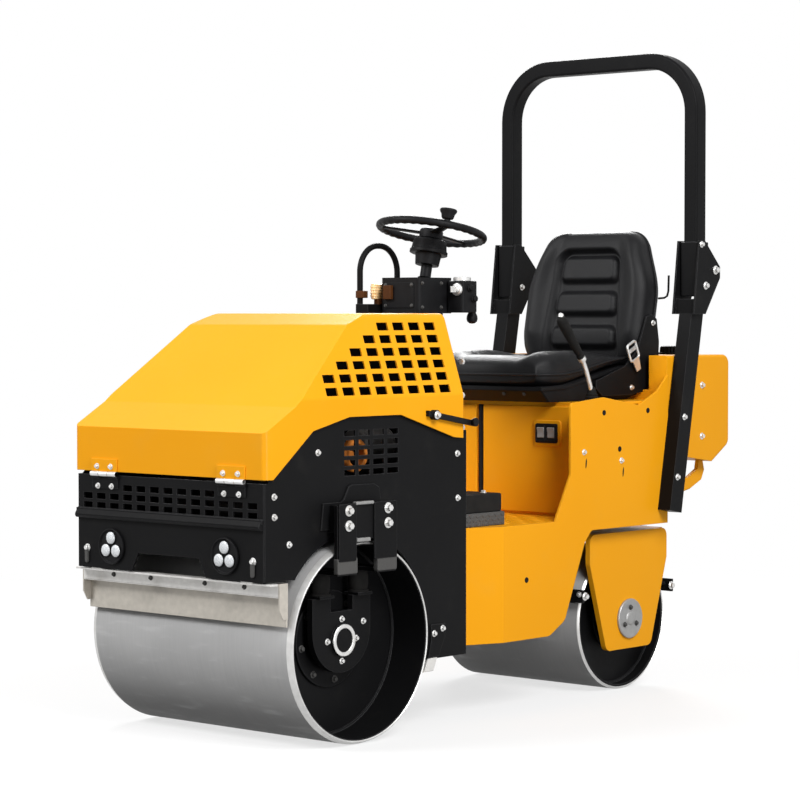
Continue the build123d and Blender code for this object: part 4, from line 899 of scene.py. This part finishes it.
def cushion_outline(v):
    return cushion_high.x * (1 - 0.10 * (1 - smooth(0.0, 0.20, v)) ** 2 - 0.12 * smooth(0.86, 1.0, v) ** 2)


def cushion_floor(v):
    return 950 + 66 * smooth(0.18, 0.92, v)


def cushion_seam(v):
    return cushion_floor(v) + 40 - 20 * smooth(0.2, 0.9, v)


def cushion_crown(x, u, v):
    roll = smooth(0.52, 0.78, abs(u))
    top = 1050 + 16 * roll - 26 * smooth(0.45, 1.0, v) * roll - 10 * (1 - smooth(0.0, 0.16, v))
    channels = sum(hump(v, c - 0.014, c + 0.014, 0.012) for c in (0.30, 0.48, 0.66))
    dish = 10 * hump(v, 0.24, 0.85, 0.14)
    groove = 7 * hump(abs(u), 0.50, 0.54, 0.03) * smooth(0.10, 0.22, v)
    return top - (6 * channels + dish) * (1 - roll) - groove - cushion_seam(v)


def cushion_belly(x, u, v):
    return cushion_floor(v) - cushion_seam(v)


def cushion_place(x, v, h):
    return Vector((x, cushion_low.y + v * (cushion_high.y - cushion_low.y), cushion_seam(v) + h))


cushion_rim = pad("seat_cushion_vinyl", cushion_outline, cushion_crown, cushion_belly, cushion_place,
                  cells=(56, 64), replaced="seat_cushion")

# %% [markdown]
# The cushion sits in a moulded tray that rises to the back, with a lip that follows the cushion's lower
# edge. Both have the same side view all the way across, so a side outline is drawn out to the width.

# %% Seat pan
pan_side = [(302, 905.5), (690, 905.5), (800, 930), (803, 985), (800, 1012), (676, 1014), (494, 982),
            (373, 958), (268, 953), (266, 940)]
pan_lip = [(262, 941), (262, 951), (376, 955), (494, 979), (676, 1011), (800, 1008), (800, 998), (678, 1001),
           (498, 969), (378, 945)]
pan = Shape()
for outline, half, edge in ((pan_side, 226, 4), (pan_lip, 232, 3)):
    pan.plate(drawn_at(-half, outline), (2 * half, 0, 0), edge)
pan.piece("seat_pan_tray", "black_plastic", stands_for="seat_pan")

# %% [markdown]
# The backrest leans with its solid. Wings come forward on both sides, the middle is sunk, and three cross
# pads swell out of it with a deep channel under each, which is where the photograph shows black lines.

# %% Backrest
back_low, back_high = node_box("seat_back")
back_lean = radians(11)
back_run = (back_high.z - back_low.z) / cos(back_lean)
back_up = Vector((0, sin(back_lean), cos(back_lean)))
back_out = Vector((0, -cos(back_lean), sin(back_lean)))
back_foot = Vector((0, back_low.y + 50, back_low.z))
pad_rows = ((0.13, 0.30), (0.37, 0.55), (0.61, 0.81))


def back_outline(v):
    turn = min(max((v - 0.885) / 0.115, 0.0), 1.0)
    shoulder = 1 - 0.26 * smooth(0.52, 1.04, v) - 0.25 * (1 - (1 - turn * turn) ** 0.5)
    return back_high.x * shoulder * (1 - 0.07 * (1 - smooth(0.0, 0.16, v)))


def rounded(x, v, half, low, high, radius):
    """How far a point is outside a rectangle with round corners, below 0 inside it."""
    right = abs(x) - half + radius
    above = (abs(v - (low + high) / 2) - (high - low) / 2) * back_run + radius
    return hypot(max(right, 0), max(above, 0)) + min(max(right, above), 0) - radius


def back_crown(x, u, v):
    half = 150 - 34 * v
    foot = smooth(0.0, 0.26, v)
    sunk = 1 - smooth(-10, 8, rounded(x, v, half, 0.02, 0.85, 45))
    pads = sum(1 - smooth(-14, 3, rounded(x, v, half - 12, low, high, 26)) for low, high in pad_rows)
    wing = 26 * smooth(0.58, 0.88, abs(u)) * (1 - 0.5 * smooth(0.75, 1.0, v))
    return 46 + foot * (14 + wing) - 27 * sunk + 22 * pads


def back_belly(x, u, v):
    return -34


def back_place(x, v, h):
    return back_foot + back_up * (v * back_run) + back_out * h + Vector((x, 0, 0))


back_rim = pad("backrest_vinyl", back_outline, back_crown, back_belly, back_place,
               cells=(84, 108), replaced="seat_back")

# %% [markdown]
# Where the two halves of each skin are sewn together, the seam is hidden by piping, a thin vinyl roll. The
# pads hand back the points of their rims, so the roll is a tube that follows them exactly.

# %% Piping along both seams
piping = Shape()
for rim in (cushion_rim, back_rim):
    piping.tube(rim, 4.2, 8, wrap=True)
piping.piece("seat_piping", "seat_vinyl", bend=60)

# %% [markdown]
# A side plate on each side joins the backrest to the pan; the left one also carries the recliner, so it
# goes up to a second screw. On the left a bright buckle hangs by the cushion and a thin guide stands behind
# the wing.

# %% Seat side plates and their screws
left_plate = [(770, 1168), (799, 1176), (825, 1161), (838, 1089), (834, 1018), (809, 962), (757, 930),
              (681, 920), (539, 920), (507, 943), (506, 968), (655, 1012), (722, 1062)]
right_plate = [(812, 1030), (809, 962), (757, 930), (681, 920), (539, 920), (507, 943), (506, 968),
               (655, 1012), (760, 1030)]
side_plates = Shape()
for side, outline in zip(SIDES, (left_plate, right_plate)):
    side_plates.plate(drawn_at(side * 246, outline), (side * 6, 0, 0), 1.5)
side_plates.tube([(248, 838, 1226), (258, 856, 1228), (262, 866, 1234), (264, 870, 1250), (264, 872, 1300)],
                 3.5, 10)
side_plates.piece("seat_side_plates", "black_paint")
bolts("seat_plate_screws", 10.5, mirrored([(252, 690, 944)]) + facing(LEFT, [(252, 803, 1148)]))
pan_seats = facing((0, -1, 0.2), [(x, 277, 932) for x in (-150, 70, 150)])
bolts("seat_pan_screws", 9, pan_seats, look=worn_and_sheen_grey, slot="black_paint")

# %% Seat buckle
buckle_at = Vector((262, 684, 1058))
buckle_up, buckle_along = Vector((0, -0.42, 0.907)), Vector((0, 0.907, 0.42))


def on_buckle(outline):
    return [buckle_at + buckle_along * a + buckle_up * b for a, b in outline]


tongue, bar = [(-18, -24), (18, -24), (11, -66), (-11, -66)], [(-19, 2), (19, 2), (19, 14), (-19, 14)]
buckle = Shape().tube(on_buckle(round_rectangle(23, 28, 8)), 4.2, 10, wrap=True)
for outline in (tongue, bar):
    buckle.plate(on_buckle(outline), (4, 0, 0))
buckle.piece("seat_buckle", "grey_steel", look=bolt_zinc)

# %% [markdown]
# ## Steering wheel
# A moulded rim with finger waves under it, three flat spokes that dish down to the hub, and a spinner knob
# that flares to its top. It turns with its own body, so everything here rides that.

# %% Steering wheel rim
wheel_at = joint_place("wheel_turn")
wheel_lean = radians(12)
wheel_axis = Vector((0, sin(wheel_lean), cos(wheel_lean)))
wheel_x = Vector((1, 0, 0))
wheel_y = wheel_axis.cross(wheel_x)
wheel_radius, rim_thick, finger_waves = 158, 11.8, 36


def on_wheel(angle, radius, rise=0.0):
    return wheel_at + (wheel_x * cos(angle) + wheel_y * sin(angle)) * radius + wheel_axis * rise


rim_rings = []
for turn in circle(144):
    ring = []
    for angle in circle(18):
        thick = rim_thick + max(0.0, -sin(angle)) * cos(finger_waves * turn)
        ring.append(on_wheel(turn, wheel_radius + thick * cos(angle), thick * sin(angle)))
    rim_rings.append(ring)
wheel = Shape().skin(rim_rings, wrap=True)
print("rim of", len(wheel.points), "points,", wheel_radius, "mm in radius")

# %% Spokes, hub and spinner knob
for turn in circle(3, pi / 2):
    across = -wheel_x * sin(turn) + wheel_y * cos(turn)
    rings = []
    for share in (0.0, 0.25, 0.5, 0.75, 1.0):
        middle = on_wheel(turn, 22 + share * (wheel_radius - 24), 6 * share - 6)
        wide, thick = 17 - 6 * share, 4.6
        rings.append([middle + across * wide * cos(a) + wheel_axis * thick * sin(a) for a in circle(16)])
    wheel.skin(rings)
hub = [(-25.8, 30), (-22, 35.5), (0, 35.8), (5, 33), (7.5, 26), (7.8, 4)]
wheel.lathe(hub, wheel_at, wheel_axis, 40)
spinner = [(4, 9), (14, 9), (16, 16), (20, 18.5), (30, 20.5), (38, 25.5), (42, 26.2), (45.2, 24.5),
           (45.8, 20), (46, 4)]
wheel.lathe(spinner, on_wheel(radians(-33), wheel_radius), wheel_axis)
wheel.piece("steering_wheel_moulding", "black_plastic", "steering_wheel", bend=40,
            stands_for="steering_wheel")

# %% [markdown]
# The column below the wheel is stepped: a thin shaft, a cup over the bearing and a collar under the hub. All
# of it is round about the wheel's axis, so one turned profile makes it.

# %% Steering column with its stepped cup
column = [(-142.5, 22.5), (-139.5, 17), (-106, 17), (-104.5, 20), (-104, 35.5), (-100, 36.5), (-73, 39.5),
          (-71, 41), (-70.5, 54), (-69, 57.8), (-60, 57.8), (-58, 54.5), (-29, 50), (-27, 47), (-26.5, 30)]
cup = Shape().lathe(column, wheel_at, wheel_axis, 40)
cup.piece("steering_column_cup", "black_plastic", stands_for="steering_column")

# %% [markdown]
# ## Controls beside the wheel
# A small box on the console holds a round gauge, a key switch and buttons, and the throttle hangs from it:
# a bent rod with a pear-shaped knob. The box is moulded with round corners, the rest is turned.

# %% Control box and throttle
controls = Shape().block((78, -9, 1180), (144, 61, 1276), 10, 4)
controls.tube([(111, 56, 1212), (111, 70, 1212), (111, 74, 1209), (111, 74, 1200), (111, 73, 1182)], 5)
pear = [(0, 7), (4, 11), (14, 15.8), (24, 17), (32, 14.5), (37, 8), (38, 2)]
controls.lathe(pear, (111, 73, 1185), (0, 0, -1), 28)
button = [(0, 12), (4, 12), (5, 9.5), (10, 9.5), (11.5, 8), (12, 2)]
for y, z in ((22, 1254), (40, 1222)):
    controls.lathe(button, (144, y, z), LEFT, 28)
controls.piece("control_box", "black_plastic", stands_for="control_cluster")

# %% Gauge and key
gauge_at = (111, 26, 1275)
gauge_rim = [(0, 26.5), (10, 26.5), (12, 25), (12, 21.5), (9, 21), (0, 21)]
key_switch = [(0, 19), (5, 19), (7, 17), (8, 12), (14, 11.5), (15, 10), (15, 2)]
bright = Shape().lathe(gauge_rim, gauge_at, UP, 40, wrap=True)
bright.lathe(key_switch, (123, -9, 1250), FRONT)
bright.plate([(x, -24, z) for x, z in ((121, 1241), (125, 1241), (125, 1259), (121, 1259))], (0, -16, 0))
bright.lathe([(0, 9.5), (5, 9.5), (6, 8)], (111, 61, 1212), REAR, 6)
bright.piece("gauge_rim_and_key", "grey_steel", look=bolt_zinc)
gauge = Shape().lathe([(0, 21), (7, 20.8), (8.5, 14), (9, 2)], gauge_at, UP, 40)
gauge.piece("gauge_glass", "lamp_glass")

# %% [markdown]
# On the far side of the console stands a small amber lamp with ribs round its lens, and plastic clamps hold
# it and the hoop beside it; their brown is a painted reflection of the yellow hood.

# %% Amber lamp beside the console
marker = Shape().block((-99, -157, 1220), (-80, -110, 1268), 10, 5)
for z in (1228, 1237, 1246, 1255):
    marker.block((-100, -158, z), (-79, -109, z + 5), 10, 1.5)
amber = lamp_glass("amber_lens", (0.90, 0.70, 0.42), (0.80, 0.42, 0.12))
marker.piece("amber_marker", "lamp_glass", look=amber)
clamps = Shape().block((-128, -190, 1224), (-94, -166, 1246), 6)
clamps.block((-54, -150, 1220), (-22, -133, 1262), 5)
clamps.block((-96, -142, 1204), (-77, -118, 1222))
# The clamps' brown is a painted reflection of the yellow hood.
clamps.piece("amber_marker_clamps", "black_plastic", look=reflection_brown_plastic)

# %% [markdown]
# The dash and the console are closed by flat covers with small dark screws, so a mechanic can reach the
# wiring behind them. A cover is a thin block with round corners.

# %% Console and dash covers with their screws
covers = Shape().block((-128, -89, 612), (128, -85, 1138), 12, 1.5, "y")
covers.block((-60, -136.5, 1194), (60, -134, 1270), 10, 1.2, "y")
covers.piece("dash_covers", "black_plastic")
cover_seats = facing(REAR, [(x, -85, z) for x in (-116, 116) for z in (626, 875, 1124)])
cover_seats += facing(FRONT, [(x, -136.5, z) for x in (-52, 52) for z in (1201, 1263)])
cover_seats += facing(LEFT, [(78, y, z) for y in (-118, -32) for z in (1196, 1268)])
bolts("dash_screws", 7, cover_seats, look=worn_and_sheen_grey, slot="black_paint")

# %% [markdown]
# ## Drive lever
# A plated rod rises from a ribbed rubber boot, bends forward and ends in a swelling grip with a button. The
# boot and the grip are turned, and the rod is a tube through the points where it bends.

# %% Boot, rod and grip
lever_x = 288.5
elbow, grip_end = Vector((lever_x, 384, 1040)), Vector((lever_x, 276, 1166))
grip_axis = grip_end - elbow
boot = [(0, 30), (4, 30)]
for k in range(4):
    boot += [(6 + 9 * k, 26 - 4 * k), (10 + 9 * k, 19 - 2.5 * k)]
boot += [(46, 9)]
grip = [(0, 8), (2, 12), (12, 12.5), (16, 10.5), (30, 12.5), (80, 14.8), (120, 16.5), (146, 17.2), (158, 15),
        (164, 10.5), (166, 4)]
rubber = Shape().lathe(boot, (lever_x, 436, 905), UP).lathe(grip, elbow, grip_axis, 28)
rubber.piece("lever_boot_and_grip", "black_rubber", stands_for="drive_lever")
lever_side = [(436, 930), (424, 962), (408, 1000), (392, 1029)]
rod = Shape().tube(drawn_at(lever_x, lever_side) + [elbow + grip_axis * 0.03], 7.2, 14)
rod.lathe([(-10, 11), (-8, 12.5), (4, 12.5), (6, 11)], elbow, grip_axis, 24)
rod.lathe([(-6, 8), (3, 8.5), (6, 6), (7, 2)], grip_end + Vector((0, 5, 6)), (0, 0.2, 1), 20)
rod.piece("lever_rod", "grey_steel", look=bolt_zinc)

# %% [markdown]
# ## Seat box
# Two raised panels close the front of the seat box, with a sealed gap between them. The left one carries a
# switch housing in a raised surround, with two grey rockers.

# %% Seat box panels and seal
front_y, panel_foot, panel_top = 351, 562, 892
panels = Shape().block((-336, front_y - 9, panel_foot), (-97, front_y, panel_top), 8, 3, "y")
panels.block((-69, front_y - 9, panel_foot), (336, front_y, panel_top), 8, 3, "y")
panels.block((138, front_y - 15, 769), (244, front_y - 8, 849), 10, 3, "y")
panels.piece("seat_box_panels", "yellow_paint")
seal = Shape().block((-92, front_y - 3, panel_foot), (-74, front_y, panel_top), 1, 0.8, "y")
seal.tube([(-83, front_y - 3, z) for z in (panel_foot + 2, panel_top - 2)], 4)
seal.piece("seat_box_seal", "black_rubber")

# %% Switch housing and rockers
housing = Shape().block((148, front_y - 20, 779), (234, front_y - 10, 839), 6, 3, "y")
for z in (784, 830):
    housing.block((152, front_y - 22, z), (230, front_y - 19, z + 4), 1, 0.8, "y")
for x in (152, 189, 226):
    housing.block((x, front_y - 22.5, 783), (x + 4, front_y - 18.5, 835), 1, 0.8, "y")
housing.piece("switch_housing", "black_plastic", stands_for="switch_box")
rocker = [(-19, 794), (-22, 797), (-20, 811), (-25, 826), (-19, 828)]
rockers = Shape()
for x in (158, 198):
    rockers.plate([(x, front_y + y, z) for y, z in rocker], (26, 0, 0))
rockers.piece("switch_rockers", "black_plastic", look=rocker_grey)

# %% [markdown]
# ## Floor and steps
# The floor is chequer plate: raised lenses that lie across each other. The steps beside the dash have a
# studded grey lower band under a smooth black upper block. Each stud is a short skin of three ellipses.


# %% Chequer plate
def stud(shape, place, out, along, long, wide, high):
    out, along = Vector(out), Vector(along).normalized()
    across = out.cross(along)
    rings = []
    for rise, share in ((-0.5, 1.0), (0.6 * high, 0.82), (high, 0.5)):
        middle = Vector(place) + out * rise
        rings.append([middle + (along * long * cos(a) + across * wide * sin(a)) * share / 2
                      for a in circle(12)])
    shape.skin(rings)


floor_z, step_z = 553, 593
chequer = Shape()
for row in range(9):
    for k in range(17):
        lean = SIDES[(row + k + 1) % 2]
        stud(chequer, (-320 + 40 * k, 26 + 38 * row, floor_z), UP, (1, lean, 0), long=30, wide=8, high=1.4)
chequer.piece("floor_chequer", "yellow_paint")

# %% Studded steps
treads = Shape().block((153, -250, floor_z), (296, 5, step_z), 4, 3)
for row in range(3):
    for k in range(17):
        lean = SIDES[(row + k + 1) % 2]
        place = (296, -242 + 14.5 * k, 560 + 12 * row)
        stud(treads, place, LEFT, (0, 1, lean), long=14, wide=6, high=1.6)
treads.mirror().piece("step_treads", "black_rubber", look=worn_and_sheen_grey, stands_for="step_pads")
step_tops = Shape().block((158, -250, step_z), (291, 0, 647), 10, 5)
step_tops.mirror().piece("step_tops", "black_rubber")
step_seats = facing(UP, [(250, -40, 647), (-250, -40, 647)]) + facing(REAR, [(280, 5, 584), (-280, 5, 584)])
bolts("step_screws", 11.5, step_seats)

# %% [markdown]
# ## Body and rear
# Screws, plugs and studs show how the body is put together: two screws on each side with a dark rubber strip
# below each, rubber plugs in the tooling holes, and nuts along the edge of the bulkhead.

# %% Body screws, plugs and bulkhead nuts
body_x = 350
bolts("body_screws", 11, mirrored([(body_x, 317, 757), (body_x, 506, 724)]))
plugs = Shape()
plug = [(0, 8.5), (1.5, 8), (2.2, 6), (1.2, 4), (1.2, 1)]
for place in drawn_at(body_x, [(40, 389), (417, 874), (643, 875), (497, 760)]):
    plugs.lathe(plug, place, LEFT, 20)
# A dark rubber strip below each body screw.
for place in drawn_at(body_x, [(328, 722), (516, 688)]):
    stud(plugs, place, LEFT, (0, 0.12, 1), long=34, wide=7, high=1)
plugs.mirror().piece("body_plugs", "black_rubber")
nut_seats = facing(REAR, [(side * 351, -262, z) for side in SIDES for z in (1040, 943, 851, 780, 656)])
bolts("bulkhead_nuts", 15.5, nut_seats, washer=False)

# %% [markdown]
# ## Water tank
# The tank is one moulding held by two screws on each side. A ribbed cap on top lets it be filled, and a
# drain plug is at the bottom of the rear face.

# %% Tank cap, drain plug and screws
tank_high = node_box("rear_tank")[1]
cap_at = Vector((190, tank_high.y - 100, tank_high.z))
rib_count = 24
cap_rings = []
for height, radius, rib in ((0, 48, 0), (6, 48, 0), (7, 41, 1.5), (22, 40, 1.5), (26, 37, 0.5), (27.5, 30, 0),
                            (27.5, 4, 0)):
    ring = []
    for a in circle(96):
        reach = radius + rib * cos(rib_count * a)
        ring.append(cap_at + Vector((reach * cos(a), reach * sin(a), height)))
    cap_rings.append(ring)
cap = Shape().skin(cap_rings)
cap.lathe([(0, 22), (4, 22), (5, 20), (12, 14), (13, 3)], (0, tank_high.y, 790), REAR, 6)
cap.piece("tank_cap_and_drain", "black_plastic")
bolts("tank_screws", 12.5, mirrored([(345, 943, 948), (345, 943, 784)]))

# %% [markdown]
# Under the tank a strap on each side slopes up and back from the body, and a short upright at its front
# closes an open triangle with the tank. Both are cut from thick plate, so both are side outlines drawn out.

# %% Tank straps with their open triangle
sloping = [(990, 712), (1012, 700), (1020, 672), (1004, 640), (940, 612), (752, 580), (752, 612), (936, 652),
           (984, 676)]
upright = [(752, 606), (776, 606), (776, 734), (752, 734)]
straps = Shape()
for outline in (sloping, upright):
    straps.plate(drawn_at(288, outline), (14, 0, 0), 2)
straps.mirror().piece("tank_straps", "yellow_paint", stands_for="tank_brackets")

# %% [markdown]
# ## Yoke and roll bar
# A dull pressed cap closes each yoke bearing. It is turned in one profile, with three small screws.

# %% Yoke caps
cap_at = Vector((310, 601, 224))
pressed_cap = [(0, 61.5), (2, 62), (6, 62), (8, 60), (8.5, 53), (6.2, 47), (6.6, 22), (10, 19), (11.5, 14),
               (11.8, 2)]
dull_zinc = zinc_plate("dull_cap_zinc", tone=0.36, metal=0.35)
caps = Shape().lathe(pressed_cap, cap_at, LEFT, 56)
caps.mirror().piece("yoke_bearing_caps", "grey_steel", "rear_yoke", dull_zinc, stands_for="yoke_caps")
cap_seats = mirrored(around_x(cap_at + Vector((6.4, 0, 0)), 34.5, circle(3, pi / 2)))
bolts("yoke_cap_screws", 10, cap_seats, "rear_yoke", worn_and_sheen_grey)

# %% [markdown]
# The hoop is a square tube with round corners, bent twice in a press, in a wider sleeve at each foot. A lug
# behind the sleeve carries the boss that turns on the pivot screw. The tube is one section, carried along
# the path and turned with it.

# %% Roll bar hoop
reach, back_y, foot_z, top_z, bend = 374, 859, 1232, 1985, 168
section = round_rectangle(25, 28, 8)
stations = [(reach, foot_z, 0.0)]
for middle_x, first in ((reach - bend, 0.0), (bend - reach, pi / 2)):
    for angle in [first + pi / 2 * k / 16 for k in range(17)]:
        stations.append((middle_x + bend * cos(angle), top_z - bend + bend * sin(angle), angle))
stations.append((-reach, foot_z, pi))
hoop = Shape().skin([[(x + u * cos(angle), back_y + v, z + u * sin(angle)) for u, v in section]
                     for x, z, angle in stations])
boss = [(0, 10.5), (0, 21), (2, 23), (46, 23), (48, 21), (48, 10.5)]
pivot_y, pivot_z = 913, 1316
for side in SIDES:
    hoop.block((side * (reach - 34), back_y - 32, 1233), (side * (reach + 34), back_y + 30, 1404), 7, 3)
    hoop.block((side * (reach - 23), back_y + 26, 1287), (side * (reach + 23), 895, 1345))
    hoop.lathe(boss, (side * (reach - 24), pivot_y, pivot_z), (side, 0, 0), 40, wrap=True)
hoop.piece("roll_bar_tube", "black_paint", "roll_bar", stands_for="roll_bar_hoop")

# %% [markdown]
# On the roll bar, the big screw is the fold's pivot. The one in front of it locks the hoop upright, and its
# other end shows on the inside. A small screw sits above them and two more hold each post to the body. The
# yoke's scrapers have their own screws, which turn with the yoke.

# %% Roll bar and scraper screws
lock_y, lock_z = 859, 1266
bolts("roll_bar_pivots", 16.5, mirrored([(417, pivot_y, pivot_z)]))
bolts("roll_bar_locks", 14.5, mirrored([(417, lock_y, lock_z)]))
post_seats = mirrored([(417, 836, 1396), (398, 772, 852), (398, 736, 664)])
post_seats += [(Vector((side * 331, lock_y, lock_z)), (-side, 0, 0)) for side in SIDES]
bolts("roll_bar_screws", 12, post_seats)
bolts("yoke_scraper_end_screws", 15, mirrored([(310, 376, 310), (310, 826, 310)]), "rear_yoke")
scraper_seats = []
for end in SIDES:
    scraper_seats += facing((0, end, 0), [(x, 601 + end * 236, 316) for x in (-296, -202, 202, 296)])
bolts("yoke_scraper_screws", 10.5, scraper_seats, "rear_yoke")

# %% [markdown]
# ## Floor, surround and light
# A pale floor with a soft shadow, and a white surround. The camera sees both near strength 1, which is
# white, while bounced light sees a greyer floor, so that the lamps mostly set the level on the machine.


# %% Pale floor
def pale_floor():
    floor = Finish("pale_floor", Roughness=0.9, Specular_IOR_Level=0.05)
    seen = floor.seen_directly()
    pale = floor.blend(floor.noise(1.5), (0.86, 0.86, 0.86), (0.90, 0.90, 0.90))
    floor.surface(Base_Color=floor.blend(seen, (0.07, 0.07, 0.07), pale))
    glow = floor.node("ShaderNodeEmission", {}, {"Color": (1, 1, 1, 1), "Strength": 1.0})
    lit = Wire(floor, floor.shader.outputs[0])
    distance = floor.node("ShaderNodeVectorMath", {"operation": "LENGTH"}, {0: floor.place()}, "Value")
    far = floor.band(distance, 1.6, 4.2)
    mixed = floor.node("ShaderNodeMixShader", {}, {0: seen * (0.70 + 0.30 * far), 1: lit, 2: glow})
    floor.feed(floor.tree.nodes["Material Output"].inputs["Surface"], mixed)
    return floor.material


floor_half = 30
floor_mesh = bpy.data.meshes.new("floor")
floor_mesh.from_pydata([(floor_half * x, floor_half * y, 0) for x, y in ((-1, -1), (1, -1), (1, 1), (-1, 1))],
                       [], [(0, 1, 2, 3)])
floor_mesh.materials.append(pale_floor())
put_in_scene("floor", floor_mesh)
print("floor", 2 * floor_half, "m across")

# %% White surround
world = bpy.data.worlds.new("surround")
bpy.context.scene.world = world
world.use_nodes = True
surround = Board(world.node_tree)
background = surround.tree.nodes["Background"]
background.inputs["Color"].default_value = (1, 1, 1, 1)
surround.feed(background.inputs["Strength"], 0.30 + 0.70 * surround.seen_directly())
print("surround", world.name, "with", len(world.node_tree.nodes), "nodes")

# %% [markdown]
# Four soft round lamps stand round the machine. The strongest is on the camera's side, a low one lights the
# drums under the body, and two from the right keep the far side and the back from going black.


# %% Soft studio lamps
def softbox(name, place, target, size, power):
    lamp = bpy.data.lights.new(name, "AREA")
    lamp.shape = "DISK"
    lamp.size = size
    lamp.energy = power
    made = put_in_scene(name, lamp)
    made.location = place
    made.rotation_euler = (Vector(target) - Vector(place)).to_track_quat("-Z", "Y").to_euler()
    print(name, power, "W")


softbox("camera side softbox", (4.6, -1.6, 4.5), (0, 0.3, 0.7), size=2.8, power=330)
softbox("low side softbox", (4.4, -1.9, 0.75), (0.1, 0.4, 0.25), size=1.2, power=68)
softbox("front right softbox", (-2.2, -4.8, 4.2), (0, -0.4, 0.7), size=2.4, power=292)
softbox("rear right softbox", (-3.6, 4.4, 4.0), (0, 0.3, 0.8), size=2.4, power=260)
